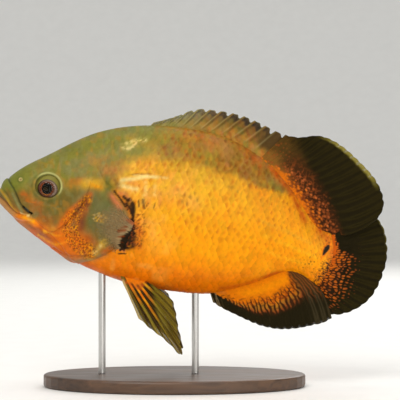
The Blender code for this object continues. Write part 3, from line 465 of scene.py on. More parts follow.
# Black streaks behind the gill cover and round the breast fin's root, with their half widths
STREAKS = [([(82.2, 18.4), (86.5, 14.6), (90.6, 10.6), (93.8, 7.2)], 0.85),
           ([(89.8, 15.4), (92.7, 13.6), (95.8, 11), (97.6, 6.4)], 1.35),
           ([(94.0, 14.6), (97.2, 12), (98.4, 8), (98.2, 4)], 1.3),
           ([(92.0, 11.4), (95.2, 8.4), (97, 4.8)], 0.9),
           ([(103.4, 15.6), (104.4, 12.6), (105.4, 10.4)], 1.2), ([(107.4, 14), (107, 12)], 0.45),
           ([(112.4, 14.6), (112, 11.4)], 0.5), ([(100.4, 14.6), (101.4, 10.8)], 0.7),
           ([(98.6, 3.4), (98.9, -1)], 1.3), ([(94.6, 1.6), (98.6, -2.6)], 0.6),
           ([(100.2, -5.6), (103.4, -4.4)], 0.55), ([(101.6, -10.4), (104.6, -11.6)], 0.55),
           ([(101.4, -16.6), (104.4, -16.2)], 0.6), ([(92.9, -24.5), (97.7, -23.8)], 0.6)]
# Round the breast fin's root, and the ring of specks on the gill cover
AXIL = [(97.2, -1.5), (98.9, -8), (98, -14.5), (94.5, -19)]
COVER_RING = (75.9, -1.9)
TAIL_PAINT_FROM = 218
TAIL_SPOT = (237.9, 3.6)
TAIL_ROWS = 35
TAIL_DASH = 4.0
# How far beyond the tail's end, in mm, dashes of orange reach, by the share of the fin from its top
DASH_REACH = [(0, 0), (0.2, 0.5), (0.27, 2), (0.34, 13), (0.48, 18), (0.7, 22), (0.9, 21), (1, 16)]
SOLID_REACH = [(0, -2.5), (0.28, -1.5), (0.38, -2.5), (0.52, -6), (0.7, -9), (0.9, -7), (1, -5)]
# Flecks of the back and of the head: tint, size and strength
BACK_FLECKS = [("red orange", 3.4, 0.4), ("gold brown", 2.6, 0.6), ("dark", 2.2, 0.3), ("pink", 3.8, 0.4),
               ("olive", 3.0, 0.3), ("bronze", 1.8, 0.5)]
HEAD_FLECKS = [("gold brown", 3.0, 0.3), ("green", 4.0, 0.3), ("cover", 5.0, 0.4), ("grey green", 2.6, 0.3)]
# Shares along a fin's base, and how far out a tint reaches there: in mm, or for the paired fins as a share
SOFT_DOTS_REACH = [0, 0.18, 0.4, 0.7, 1], [1, 4, 13, 20, 18]
ANAL_FLESH_REACH = [0, 0.12, 0.35, 0.6, 0.8, 0.88, 1], [-2, 5, 12, 16, 13, 2, -3]
ANAL_BARS_REACH = [0, 0.2, 0.38, 0.6, 0.8, 0.88, 1], [-2, 9, 21, 27, 27, 20, 8]
PECTORAL_DARK_REACH = [0, 0.1, 0.3, 0.6, 0.85, 1], [0.03, 0.06, 0.12, 0.27, 0.38, 0.34]
PELVIC_DARK_REACH = [0, 0.1, 0.3, 0.45, 0.7, 1], [0.2, 0.98, 0.95, 0.66, 0.55, 0.4]
PELVIC_BRIGHT_REACH = [0, 0.2, 0.35, 0.6, 1], [0.42, 0.55, 0.62, 0.52, 0.34]
ANAL_BAR_TINTS = [(-0.3, "orange"), (0.1, "fin orange"), (0.45, "gold brown"), (0.8, "ember"), (1.1, "wine")]
# The brightest that any paint gets, in linear light
MOST_PAINT = 1.2


def blend(colour, tint, amount):
    """Moves a colour towards a tint, by name, by an amount from 0 to 1."""
    return colour + (rgb(tint) - colour) * np.clip(amount, 0, 1)[..., None]


def layers(colour, *tints):
    """Lays named tints over a colour one after another, each by its own amount."""
    for tint, amount in tints:
        colour = blend(colour, tint, amount)
    return colour


def ramp(value, stops):
    """Colours between named tints at these values."""
    where = [place for place, _ in stops]
    tints = np.array([rgb(name) for _, name in stops])
    return np.stack([np.interp(value, where, tints[:, k]) for k in range(3)], axis=-1)


def patches(s, z, size, seed, above, gain):
    """Ragged patches: 0 where the noise is under this level, and sooner 1 the higher the gain."""
    return smooth((noise(s, z, size, seed) - above) * gain)


def worms(s, z, size, thin, seed):
    """Thin wandering lines: 1 on them, 0 off them."""
    field = noise(s, z, size, seed) * 0.75 + noise(s, z, size * 0.5, seed + 5) * 0.25
    return smooth((thin - np.abs(field - 0.5)) / (thin * 0.6))


def cells(s, z, size, seed, jitter=0.3):
    """Scattered points, one a cell: the distance to the nearest, in cells, and the point's own number."""
    table = np.random.default_rng(seed).random((96, 96, 3))
    y = np.asarray(z, float) / size
    j = np.floor(y).astype(int)
    best = np.full(y.shape, 9.0)
    own = np.zeros(y.shape)
    for up in (-1, 0, 1):
        x = np.asarray(s, float) / size + 0.5 * ((j + up) % 2)
        i = np.floor(x).astype(int)
        for on in (-1, 0, 1):
            place = table[(i + on) % 96, (j + up) % 96]
            centre = 0.5 + jitter * (2 * place - 1)
            gap = np.hypot(x - i - on - centre[..., 0], y - j - up - centre[..., 1])
            closer = gap < best
            best = np.where(closer, gap, best)
            own = np.where(closer, place[..., 2], own)
    return best, own


def specks(colour, s, z, size, radius, tint, amount, seed):
    """Scattered specks of a tint, some fainter than others. The radius is a share of their spacing."""
    away, own = cells(s, z, size, seed)
    shown = smooth((radius * (0.7 + 0.6 * own) - away) / 0.14)
    return blend(colour, tint, amount * (0.4 + 0.6 * own) * shown)


def tail_marks(colour, share, out):
    """Paints the tail by its share from the top and by how far out it lies: orange between dark rays."""
    reach, solid = (curve_through(keys)(share) for keys in (DASH_REACH, SOLID_REACH))
    warp = noise(share * 40, out * 0.35, 1.6, 401) - 0.5
    row = share * TAIL_ROWS + 0.9 * warp + 0.5 * (noise(share * 90, out * 0.6, 1.6, 411) - 0.5)
    column = np.floor(row)
    step = out / TAIL_DASH + 3 * noise(column, column * 0, 0.8, 403) + 0.5 * noise(share * 30, out, 2.0, 405)
    along = np.abs(step - np.floor(step) - 0.5) * 2
    across = np.abs(row - column - 0.5) * 2
    from_centre = (across ** 2.6 + along ** 2.6) ** (1 / 2.6)
    bright = noise(column * 1.7, np.floor(step) * 1.3, 0.7, 407)
    far = np.clip((out - solid + 3 * warp) / np.maximum(reach - solid, 0.5), -1, 2)
    size = np.interp(far, [-0.2, 0.0, 0.3, 0.6, 0.9, 1.15], [1.5, 1.02, 0.80, 0.70, 0.56, 0.0])
    shown = smooth((size + 0.45 * (bright - 0.5) - from_centre) / 0.26)
    gap = layers(colour, ("maroon", smooth(far * 4 + 0.6)), ("fin", rise(far, 0.2, 0.5)))
    dash = layers(
        colour,
        ("fin orange", smooth(far / 0.3) * 0.7),
        ("ember", rise(far, 0.05, 0.4) * (0.5 + 0.4 * smooth((0.6 - bright) * 5))),
        ("wine", 0.75 * rise(far, 0.5, 0.5)),
        ("fin", 0.5 * smooth((0.45 - bright) * 4) * rise(far, 0.2, 0.3)))
    return gap + (dash - gap) * shown[..., None]


def tail_paint(colour, s, z):
    """Paints the end of the body as tail_marks paints the fin behind it, with the dark spot before it."""
    near = s > TAIL_PAINT_FROM
    if near.any():
        out, side, share = line_distance(s[near], z[near], TAIL_LINE)
        colour[near] = tail_marks(colour[near], 1 - share, out * side)
    up = z - TAIL_SPOT[1]
    half_height = np.where(up > 0, 3.6, 5.0)
    half_wide = 1.9 - 0.22 * np.clip(-up, 0, 5)
    away = np.hypot((s - TAIL_SPOT[0] - 0.34 * up) / half_wide, up / half_height)
    return layers(colour, ("orange", 0.9 * bell(away - 1.3, 0.4)), ("black", fall(away, 1.12, 0.25)))


def flecked(colour, s, z, flecks, amount, seed):
    """Patches of several tints, painted one over the other like brush strokes."""
    for number, (tint, size, strength) in enumerate(flecks):
        shown = patches(s * 1.15 + z * 0.25, z * 0.75, size, seed + number, 0.56, 7)
        colour = blend(colour, tint, strength * amount * shown)
    return colour


def redness(colour):
    """How far red leads over green, which tells the orange flank from the olive back."""
    return colour[..., 0] / np.maximum(colour[..., 1], 0.01)


def flank_paint(s, z, depth, wander, seed):
    """The orange flank, and the brown back above it."""
    flank = layers(
        ramp(depth + wander * 0.006, FLANK),
        ("amber", rise(s, 140, 60) * 0.75),
        ("orange", 0.25 * smooth((grain(s, z, 9, seed + 21) - 0.5) * 4)),
        ("peach", 0.35 * patches(s, z, 6, seed + 23, 0.55, 4) * fall(s, 150, 40)))
    back = ramp(s + wander * 1.5, BACK_TINTS)
    golden = 0.55 * smooth((grain(s, z * 0.5, 5, seed + 9) - 0.5) * 6)
    back = blend(back, "gold", golden * rise(s, 88, 30) * fall(z, 60, 14))
    back = flecked(back, s, z, BACK_FLECKS, rise(s, 92, 34), seed + 200)
    edge, blur = curve_through(UPPER_EDGE)(s), curve_through(UPPER_BLUR)(s)
    ragged = 3.5 * (noise(s, z * 0.5, 2.4, seed + 27) - 0.5)
    streaks = noise(s * 1.3, z * 0.45, 2.0, seed + 29)
    border = bell(z - edge + 7, 7) * rise(s, 84, 12)
    flank = layers(
        flank,
        ("peach", 0.4 * border * smooth((streaks - 0.56) * 6) * fall(s, 170, 40)),
        ("gold brown", 0.35 * border * smooth((0.42 - streaks) * 6)))
    return flank + (back - flank) * smooth((z + wander * 0.5 + ragged - edge) / blur + 0.5)[..., None]


def mouth_paint(colour, s, z, seed):
    """The lips, the folds beside them and the dark corner of the mouth, with painted highlights on the lips
    and painted shade in the groove, the slit and the corner.
    """
    lip = near_line(s, z, MOUTH, 7, lambda d, side: np.where(side > 0, bell(d - 1.6, 2.0), 0))
    # The black corner of the mouth is painted shadow in its recess
    corner = stroke(s, z, [(20.4, -4.0), (23.9, -6.1), (26.8, -7.6)], 4, 0.8)
    return layers(
        colour,
        ("lower lip", lip * 0.85 * fall(s, 19, 6)),
        # Painted highlights along the lip's crease and on the upper lip's ridge
        ("gold", 0.5 * stroke(s, z, LIP_CREASE, 4, 0.8)),
        ("grey green", 0.7 * stroke(s, z, [(11.5, 4.0), (15.0, -0.6), (18.4, -5.0), (20.4, -7.2)], 4, 1.0)),
        # Painted shade beside the upper lip, then broken painted highlights on the lower lip
        ("brown", 0.35 * stroke(s, z, [(6.5, 6.5), (11, 0.6), (14.6, -4.6)], 4, 1.0)),
        ("cream", 0.8 * stroke(s, z, [(19.5, -8.4), (22.5, -9.0), (25.6, -8.8)], 3, 0.7)
         * patches(s, z, 1.3, seed + 61, 0.4, 6)),
        # Painted shade in the groove, painted shadow in the mouth's corner with a blue grey painted
        # reflection in it, and painted shade in the slit between the lips
        ("teal", 0.8 * stroke(s, z, GROOVE, 3, 0.5)),
        ("black", smooth(corner * 1.3) * 0.95),
        ("steel", 0.8 * stroke(s, z, [(22.0, -4.6), (24.6, -6.0)], 3, 0.55)),
        ("plum", 0.7 * stroke(s, z, MOUTH, 2, 0.5) * fall(s, 20, 4)))


def face_paint(colour, s, z):
    """The rim of the orbit and the nostril. The rim is painted lighter on its upper right as a painted
    highlight and darker below and to the left as painted shade, with a painted shade line just inside it.
    """
    across, up = s - EYE_CENTRE[0], z - EYE_CENTRE[1]
    from_eye = np.hypot(across, up * ORBIT_FLAT)
    # lit: 1 on the orbit's upper right, where a highlight is painted, and 0 on its lower left, where shade is
    # painted
    lit = smooth((up + 0.6 * across + 2) / 7)
    from_nostril = distance_to(s, z, NOSTRIL_CENTRE)
    return layers(
        colour,
        ("green", bell(from_eye - 11.6, 1.4) * 0.5 * (1 - lit)),
        ("orbit", bell(from_eye - ORBIT_RADIUS, 0.7) * (0.05 + 0.85 * lit)),
        ("teal", bell(from_eye - 8.9, 0.35) * (0.3 + 0.4 * (1 - lit))),
        ("eye olive", fall(from_eye, 8.8, 0.5) * (0.5 + 0.4 * lit)),
        ("green", bell(from_nostril - 2.2, 0.6) * 0.5),
        ("pale", fall(from_nostril, 1.6, 0.5) * 0.7),
        ("dark", fall(from_nostril, 0.6, 0.3) * 0.8))


def cheek_paint(colour, s, z, seed):
    """The specks of the cheek's rear edge."""
    upper = band(s, z, [(65, 9), (60.5, 2), (57.5, -5)], 8, 4.2, 2)
    lower = band(s, z, [(57.5, -5), (56, -13), (61, -21), (72, -26.5)], 10, 7, 3)
    speckle = np.maximum(upper, lower)
    colour = layers(
        colour,
        ("rust", speckle * 0.75 * worms(s, z, 1.6, 0.12, seed + 71)),
        ("amber", speckle * 0.7 * worms(s, z, 1.5, 0.09, seed + 75)))
    colour = specks(colour, s, z, 1.8, 0.33, "maroon", speckle * 0.8, seed + 73)
    colour = blend(colour, "plum", upper * 0.35 * smooth((grain(s, z, 2.2, seed + 74) - 0.5) * 8))
    colour = specks(colour, s, z, 2.9, 0.20, "black", speckle * 0.6, seed + 77)
    return blend(colour, "plum", 0.7 * spot(s, z, (64, -8), (2.2, 5), 8))


def axil_paint(colour, s, z, seed):
    """The ragged black pit round the breast fin's root, and the specks behind it."""
    specked = band(s, z, [(103.5, 4), (105.5, -6), (105.5, -15)], 10, 5, 3)
    colour = blend(colour, "rust", specked * 0.7 * worms(s, z, 1.6, 0.12, seed + 79))
    colour = specks(colour, s, z, 2.3, 0.24, "maroon", specked, seed + 81)
    from_axil = near_line(s, z, AXIL, 9, lambda d, side: d)
    ragged = 5.0 * (grain(s, z, 1.4, seed + 83) - 0.5)
    inside = (from_axil > 0) | within(s, z, AXIL[:3], 1)
    pit = inside * smooth((3.7 + ragged - from_axil) / 0.8)
    return layers(
        colour,
        ("black", 0.97 * pit),
        ("rust", pit * worms(s * 2, z, 2.0, 0.08, seed + 84) * 0.7))


def cover_paint(colour, s, z, seed):
    """The ring of pale and dark specks on the gill cover."""
    away = np.hypot((s - COVER_RING[0]) / 1.55, (z - COVER_RING[1]) / 0.95)
    colour = blend(colour, "brown", bell(away, 3.0) * 0.6)
    cluster = fall(away, 4.3, 1.2)
    colour = specks(colour, s, z, 1.9, 0.40, "gold", cluster, seed + 85)
    colour = specks(colour, s, z, 2.4, 0.30, "pale", cluster * 0.9, seed + 86)
    return specks(colour, s, z, 1.9, 0.24, "maroon", cluster * 0.8, seed + 87)


def head_paint(s, z, depth, wander, seed):
    """The olive head, before its marks."""
    head = ramp(depth + wander * 0.008, HEAD_TINTS)
    head = blend(head, "snout", fall(s, 24, 16) * rise(z, 2, 8))
    return flecked(head, s, z, HEAD_FLECKS, rise(s, 12, 20), seed + 240)


def behind_head(s, z, wander):
    """1 on the flank and 0 on the head, by the gill cover's edge and, above it, a line up the nape."""
    behind = near_line(s, z, COVER_EDGE, 40, lambda d, side: smooth(0.5 + d * side / 2.2))
    above = smooth((s - 76 + wander * 1.8 - (z - 30) * 0.30) / 18)
    above = np.maximum(above, rise(s, 92, 4) * fall(z, 30, 6))
    behind = np.where((z > 20) | (s > 98), above, behind)
    behind = np.where(s > 120, 1, behind)
    below = smooth((-34.5 - z + (s - 60) * 0.12) / 3) * rise(s, 60, 8)
    return np.maximum(behind, below)


def marked(colour, s, z, seed):
    """All marks with a place of their own, in the order of the tables."""
    for number, (keys, width, tint, strength, broken) in enumerate(MARKS):
        mask = stroke(s, z, keys, width * 2.4, width)
        if broken:
            patchy = smooth((grain(s, z, max(width * 0.8, 1.6), seed + number) - 0.42) * 6)
            mask = mask * (1 - broken + broken * patchy)
        colour = blend(colour, tint, mask * strength)
    colour = mouth_paint(colour, s, z, seed)
    colour = face_paint(colour, s, z)
    colour = cheek_paint(colour, s, z, seed)
    colour = axil_paint(colour, s, z, seed)
    colour = cover_paint(colour, s, z, seed)
    patchy = smooth((grain(s, z, 1.6, seed + 89) - 0.25) * 6)
    for keys, width in STREAKS:
        black = near_line(s, z, keys, 4, lambda d, side: smooth((width * 1.25 - d) / (width * 0.8)))
        colour = layers(
            colour,
            ("plum", 0.5 * black),
            ("black", 0.9 * black * patchy * (1 - 0.5 * rise(s, 99, 3))))
    for place_s, place_z, long in DARK_DASHES:
        colour = blend(colour, "brown", 0.75 * spot(s, z, (place_s, place_z), (0.7, long), 8))
    return colour


def body_paint(s, z, side):
    """The colour of skin and scales at a place of the side view; side is -1 for the left flank."""
    seed = 100 if side < 0 else 300
    depth = (z - belly_z(s)) / np.maximum(back_z(s) - belly_z(s), 1)
    wander = (grain(s, z, 9, seed) - 0.5) * 9
    flank = flank_paint(s, z, depth, wander, seed)
    head = head_paint(s, z, depth, wander, seed)
    colour = head + (flank - head) * behind_head(s, z, wander)[..., None]
    colour = tail_paint(marked(colour, s, z, seed), s, z)
    near_tail = spot(s, z, (229, -10), (11, 8)) + spot(s, z, (239, 11), (5, 6))
    colour = specks(colour, s, z, 2.6, 0.24, "maroon", 0.9 * near_tail, seed + 91)

    shade = 0.9 + 0.2 * grain(s, z, 3.0, seed + 95)
    # Painted light: the orange of the lower flank, belly and throat is painted up to a sixth brighter,
    # standing in for light that the lamps give the lower side too little of
    shade = shade * (1.02 + 0.16 * fall(z, 24, 40) * rise(redness(colour), 1.2, 0.5))
    return np.clip(colour * shade[..., None], 0, MOST_PAINT)


# Mesh building

def build(name, points, quads, tint, uv, look, slot, nodes=(), clear=None, sharp_deg=None, join=0.0):
    """A mesh object that rides on the model, with a tint for each point and a map place for each corner."""
    mesh = bpy.data.meshes.new(name)
    points = np.ascontiguousarray(points.reshape(-1, 3))
    mesh.vertices.add(len(points))
    mesh.vertices.foreach_set("co", to_world(points).astype(np.float32).ravel())
    mesh.loops.add(quads.size)
    mesh.loops.foreach_set("vertex_index", quads.astype(np.int32).ravel())
    mesh.polygons.add(len(quads))
    mesh.polygons.foreach_set("loop_start", np.arange(0, quads.size, 4, dtype=np.int32))
    mesh.update(calc_edges=True)
    paint = np.c_[tint.reshape(-1, 3), np.ones(len(points))].astype(np.float32)
    mesh.color_attributes.new("paint", "FLOAT_COLOR", "POINT").data.foreach_set("color", paint.ravel())
    if clear is not None:
        layer = mesh.attributes.new("clear", "FLOAT", "POINT")
        layer.data.foreach_set("value", clear.astype(np.float32).ravel())
    layer = mesh.uv_layers.new(name="OFBake")
    layer.data.foreach_set("uv", uv.astype(np.float32).ravel())
    if join:
        join_points(mesh, join / 1000)
    mesh.shade_smooth()
    if sharp_deg:
        mesh.set_sharp_from_angle(angle=math.radians(sharp_deg))
    made = bpy.data.objects.new(name, mesh)
    bpy.context.scene.collection.objects.link(made)
    mesh.materials.append(look)
    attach(made, "root")
    if nodes:
        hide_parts(*nodes)
    return made


def join_points(mesh, reach):
    """Joins points that lie within reach, in metres, and drops the faces that this leaves without area."""
    maker = bmesh.new()
    maker.from_mesh(mesh)
    bmesh.ops.remove_doubles(maker, verts=maker.verts, dist=reach)
    bmesh.ops.dissolve_degenerate(maker, edges=maker.edges, dist=reach)
    maker.to_mesh(mesh)
    maker.free()


def grid_quads(grid):
    """The quads between neighbours of a grid of indices."""
    return np.stack([grid[:-1, :-1], grid[1:, :-1], grid[1:, 1:], grid[:-1, 1:]], axis=-1).reshape(-1, 4)


def ring_quads(rows, columns):
    """Quads of a grid whose last column is joined to its first."""
    index = np.arange(rows * columns).reshape(rows, columns)
    return grid_quads(np.concatenate([index, index[:, :1]], axis=1))


def lens_faces(rows, columns):
    """Quads of a closed sheet whose two sides share their rim: indices, grid places of corners, and side."""
    top = np.arange(rows * columns).reshape(rows, columns)
    under = top.copy()
    under[1:-1, 1:-1] = rows * columns + np.arange((rows - 2) * (columns - 2)).reshape(rows - 2, columns - 2)
    faces = np.concatenate([grid_quads(top), grid_quads(under)[:, ::-1]])
    places = np.concatenate([grid_quads(top), grid_quads(top)[:, ::-1]])
    below = np.repeat([0, 1], (rows - 1) * (columns - 1))
    return faces, places, below


def sheet_points(top, under):
    """The points of closed sheets, [sheets, rows, columns, n], in the order that lens_faces counts."""
    count, rest = top.shape[0], top.shape[-1]
    inner = under[:, 1:-1, 1:-1]
    return np.concatenate([top.reshape(count, -1, rest), inner.reshape(count, -1, rest)], axis=1)


def grid_normals(points, around=False):
    """Outward normals of a grid of points [rows, columns, 3]; around joins its last column to its first."""
    along = np.gradient(points, axis=0)
    if around:
        across = np.roll(points, -1, axis=1) - np.roll(points, 1, axis=1)
    else:
        across = np.gradient(points, axis=1)
    normal = np.cross(along, across)
    return normal / np.maximum(np.linalg.norm(normal, axis=-1), 1e-9)[..., None]


# Materials

PAINT_LEVEL = 0.8
WARM_GLOSS = (1.0, 0.82, 0.5, 1.0)


def feed(tree, made, inputs):
    """Gives each named input of a node another node's output, or a constant."""
    for name, value in inputs.items():
        if isinstance(value, bpy.types.NodeSocket):
            tree.links.new(value, made.inputs[name])
        else:
            made.inputs[name].default_value = value


def node(tree, kind, inputs=None, **settings):
    made = tree.nodes.new("ShaderNode" + kind)
    for name, value in settings.items():
        setattr(made, name, value)
    feed(tree, made, inputs or {})
    return made


def noise_node(tree, place, scale, detail=3.0, distortion=0.0):
    inputs = {"Vector": place, "Scale": scale, "Detail": detail, "Distortion": distortion}
    return node(tree, "TexNoise", inputs).outputs["Fac"]


def to_range(tree, value, low, high, start=0.3, end=0.7):
    inputs = {"Value": value, "From Min": start, "From Max": end, "To Min": low, "To Max": high}
    return node(tree, "MapRange", inputs).outputs["Result"]


def maths(tree, operation, a, b):
    return node(tree, "Math", {0: a, 1: b}, operation=operation).outputs["Value"]


def average(tree, a, b, share):
    """Two values mixed, with this share of the first."""
    return maths(tree, "ADD", maths(tree, "MULTIPLY", a, share), maths(tree, "MULTIPLY", b, 1 - share))


def scaled(tree, colour, amount):
    return node(tree, "VectorMath", {0: colour, "Scale": amount}, operation="SCALE").outputs["Vector"]


def bump(tree, height, strength, distance, below=None):
    inputs = {"Height": height, "Strength": strength, "Distance": distance}
    if below is not None:
        inputs["Normal"] = below
    return node(tree, "Bump", inputs).outputs["Normal"]


def new_look(name):
    """A material, its tree, its surface and the places of the object it is on."""
    look = bpy.data.materials.new(name)
    look.use_nodes = True
    tree = look.node_tree
    return look, tree, tree.nodes["Principled BSDF"], node(tree, "TexCoord").outputs["Object"]


def painted_look(name, rough, mottle, pebble, coat, gloss, clear=False):
    """Skin, scale or fin: its own paint, mottled and pebbled by noise, under a wet film."""
    look, tree, surface, place = new_look(name)
    paint = node(tree, "Attribute", attribute_name="paint").outputs["Color"]
    coarse = noise_node(tree, place, 420, 5)
    fine = noise_node(tree, place, 2600)
    mottled = to_range(tree, average(tree, coarse, fine, 0.6), PAINT_LEVEL - mottle, PAINT_LEVEL + mottle)
    lumps = node(tree, "TexVoronoi", {"Vector": place, "Scale": pebble[0]}).outputs["Distance"]
    pebbled = bump(tree, lumps, pebble[1], 0.0002)
    feed(tree, surface, {
        "Base Color": scaled(tree, paint, mottled),
        "Roughness": to_range(tree, coarse, *rough),
        "Normal": bump(tree, fine, 0.25, 0.0001, pebbled),
        "Coat Weight": coat,
        "Coat Roughness": 0.14,
        "Specular IOR Level": gloss,
        "Specular Tint": WARM_GLOSS})
    if clear:
        film = node(tree, "Attribute", attribute_name="clear").outputs["Fac"]
        feed(tree, surface, {"Alpha": maths(tree, "SUBTRACT", 1.0, film)})
    return look


# The skin

SKIN_LEVELS = 200
SKIN_END = 241.0
SKIN_INSET = 0.28
SHEATH_LENGTH = 4.0
MAP_LENGTH = 300


def caudal_drift(out):
    """How far the tail fin has swung to the right, by the share of the way out to its margin."""
    return CAUDAL_SWING * out ** SWING_POWER


def skin_body():
    """The skin's stations and half sections up to the tail's end: s, y and z, [stations, levels]."""
    stations = np.concatenate([6 * np.linspace(0, 1, 24) ** 2, np.arange(6.4, 77, 0.42),
                               np.arange(77.2, 108, 0.8), np.arange(109, 241, 2.0), [SKIN_END]])
    share = np.linspace(0, 1, SKIN_LEVELS)
    s = np.repeat(stations[:, None], SKIN_LEVELS, axis=1)
    end = line_points(TAIL_END, share)[:, 0][None] - SKIN_END
    s = s + rise(stations, 200, 41)[:, None] * end
    z, y = section(s, np.broadcast_to(share, s.shape))
    return s, y, z


def skin_grid():
    """Places of the skin, [stations, levels round the body, (s, y, z)], before relief."""
    s, y, z = skin_body()
    root = np.stack([s[-1], z[-1]], axis=1)
    way = line_points(CAUDAL_MARGIN[::-1], np.linspace(0, 1, SKIN_LEVELS)) - root
    length = np.linalg.norm(way, axis=1)
    out = np.linspace(0, 1, 12)[1:, None] * SHEATH_LENGTH
    more_s = root[:, 0] + out * way[:, 0] / length
    more_z = root[:, 1] + out * way[:, 1] / length
    more_y = y[-1] * (1 - (out / SHEATH_LENGTH)) ** 0.8
    drift = np.concatenate([np.zeros(s.shape), caudal_drift(out / length)])
    s, y, z = (np.concatenate(pair) for pair in ((s, more_s), (y, more_y), (z, more_z)))
    left = np.stack([s, drift - y, z], axis=-1)
    right = np.stack([s, drift + y, z], axis=-1)
    return np.concatenate([left, right[:, -2:0:-1]], axis=1)


def skin_map(share, right):
    """Height on the skin's map: the left side below, the right side above."""
    return np.where(right, 0.52, 0.02) + 0.46 * share


def make_skin():
    grid = skin_grid()
    normal = grid_normals(grid, around=True)
    normal[0] = (-1, 0, 0)
    s, z = grid[..., 0], grid[..., 2]
    inset = SKIN_INSET * rise(s, 60, 20)
    points = grid + normal * (relief(s, z) - inset)[..., None]
    points[0] = points[0].mean(0)
    points[-1, :, 1] = caudal_drift(0.2)
    rows, columns = s.shape
    left = np.arange(columns) < SKIN_LEVELS
    tint = np.where(left[None, :, None], body_paint(s, z, -1), body_paint(s, z, 1))
    quads = ring_quads(rows, columns)
    share = np.concatenate([np.linspace(0, 1, SKIN_LEVELS), np.linspace(1, 0, SKIN_LEVELS)[1:-1], [0]])
    column = np.tile(np.arange(columns), rows - 1)
    v = np.stack([share[column], share[column], share[column + 1], share[column + 1]], axis=-1)
    on_right = (column >= SKIN_LEVELS - 1)[:, None]
    uv = np.stack([s.reshape(-1)[quads] / MAP_LENGTH, skin_map(v, on_right)], axis=-1)
    look = painted_look("fish_skin", (0.36, 0.52), 0.11, (900, 0.35), 0.06, 0.12)
    build("skin", points, quads, tint, uv, look, "skin_back",
          ("head", "upper_jaw", "lower_jaw", "gill_cover_left", "gill_cover_right", "torso", "tail_stem"),
          join=0.002)


# Scales

TABLE_STEP = 0.5
TABLE_HALF = 90.0
SCALE_ROWS = 10
SCALE_COLUMNS = 9
SCALE_PITCH = [(30, 2.6), (60, 3.4), (90, 4.4), (115, 4.9), (180, 4.7), (215, 3.8), (250, 3.0)]
SCALE_HEIGHT = [(30, 2.3), (60, 3.0), (90, 3.8), (115, 4.2), (170, 4.1), (205, 3.4), (250, 2.5)]
SCALE_JITTER = 0.075
SCALE_LIFT = 0.15
SCALE_ROOT = 0.22
SCALE_THICKNESS = 0.14
SCALE_MARGIN = 0.25
SCALE_PATCH = 0.003
DASH_SHADE = (0.76, 0.47, 0.24)


def body_table(side):
    """Places, normals and shares of the body by s and by girth from its widest level, on an even grid."""
    s = np.arange(0, 252, TABLE_STEP)
    girth = np.arange(-TABLE_HALF, TABLE_HALF, TABLE_STEP)
    share = np.linspace(0, 1, 401)
    z, y = section(np.repeat(s[:, None], 401, 1), np.broadcast_to(share, (len(s), 401)))
    steps = np.hypot(np.diff(z, axis=1), np.diff(y, axis=1))
    along = np.concatenate([np.zeros((len(s), 1)), np.cumsum(steps, axis=1)], axis=1)
    along -= along[:, 200:201]
    shares = np.stack([np.interp(girth, row, share) for row in along])
    over = np.maximum(girth - along[:, -1:], 0) + np.maximum(along[:, :1] - girth, 0)
    grid_s = np.repeat(s[:, None], len(girth), 1)
    z, y = section(grid_s, shares)
    points = np.stack([grid_s, side * (y - over), z], axis=-1)
    normal = grid_normals(points) * -side
    points = points + normal * relief(grid_s, z)[..., None]
    return points, normal, shares, (s, along[:, 0], along[:, -1])


def sample(table, s, girth):
    """A table's values at places between its own."""
    p = np.clip(s / TABLE_STEP, 0, table.shape[0] - 1.001)
    q = np.clip((girth + TABLE_HALF) / TABLE_STEP, 0, table.shape[1] - 1.001)
    i, j = p.astype(int), q.astype(int)
    u, v = p - i, q - j
    if table.ndim == 3:
        u, v = u[..., None], v[..., None]
    near = table[i, j] * (1 - u) + table[i + 1, j] * u
    far = table[i, j + 1] * (1 - u) + table[i + 1, j + 1] * u
    return near * (1 - v) + far * v


def scale_centres():
    """Places of all scales of one side as (s, girth, pitch, height, slope): rows offset by half a pitch."""
    pitch_at, height_at = curve_through(SCALE_PITCH), curve_through(SCALE_HEIGHT)
    s = [36.0]
    while s[-1] < 246:
        s.append(s[-1] + pitch_at(s[-1]) / 2)
    found = []
    for i, place in enumerate(s):
        height = float(height_at(place))
        slope = float(height_at(place + 1) - height_at(place - 1)) / 2
        for j in range(-34, 35):
            if (i + j) % 2 == 0:
                found.append((place, j * height, float(pitch_at(place)), height, j * slope))
    return np.array(found)


def scaled_here(s, z):
    """True where the skin grows scales: not on the face, the chin, the throat's edge or in the fin pit."""
    bare = within(s, z, [(30, 40), (40, 34), (50, 30)], 12)
    bare |= distance_to(s, z, EYE_CENTRE) < 14
    bare |= s < 46
    bare |= (z < -14 - (s - 40) * 0.1) & (s < 66)
    bare |= (z < -24) & (s < 84)
    bare |= within(s, z, COVER_EDGE, 2.6)
    bare |= within(s, z, CHEEK_EDGE, 2.2)
    bare |= within(s, z, [(94, -20), (99, -12), (100, -4)], 5.5)
    return ~bare


def placed_scales(points_table, limits, rng):
    """The scales that one side has room for, as scale_centres gives them but each a little out of line."""
    s, girth, pitch, height, slope = scale_centres().T
    s = s + rng.normal(0, SCALE_JITTER, len(s)) * pitch
    girth = girth + rng.normal(0, SCALE_JITTER, len(girth)) * height
    z = sample(points_table[..., 2], s, girth)
    lowest, highest = (np.interp(s, limits[0], limit) for limit in limits[1:])
    inside = (girth < highest) & (girth > lowest)
    end = np.interp(z, [z0 for _, z0 in TAIL_END], [s0 for s0, _ in TAIL_END])
    keep = inside & scaled_here(s, z) & (s < end - 1)
    return [value[keep] for value in (s, girth, pitch, height, slope)]


def scale_outline(u):
    """Half width of a scale by the share of its length, from its hidden root to its round free edge."""
    root = 0.72 + 0.28 * smooth(u / 0.45)
    free = np.sqrt(np.maximum(1 - (np.maximum(u - 0.45, 0) / 0.55) ** 2.6, 0))
    return np.maximum(np.where(u < 0.45, root, free), 0.05)


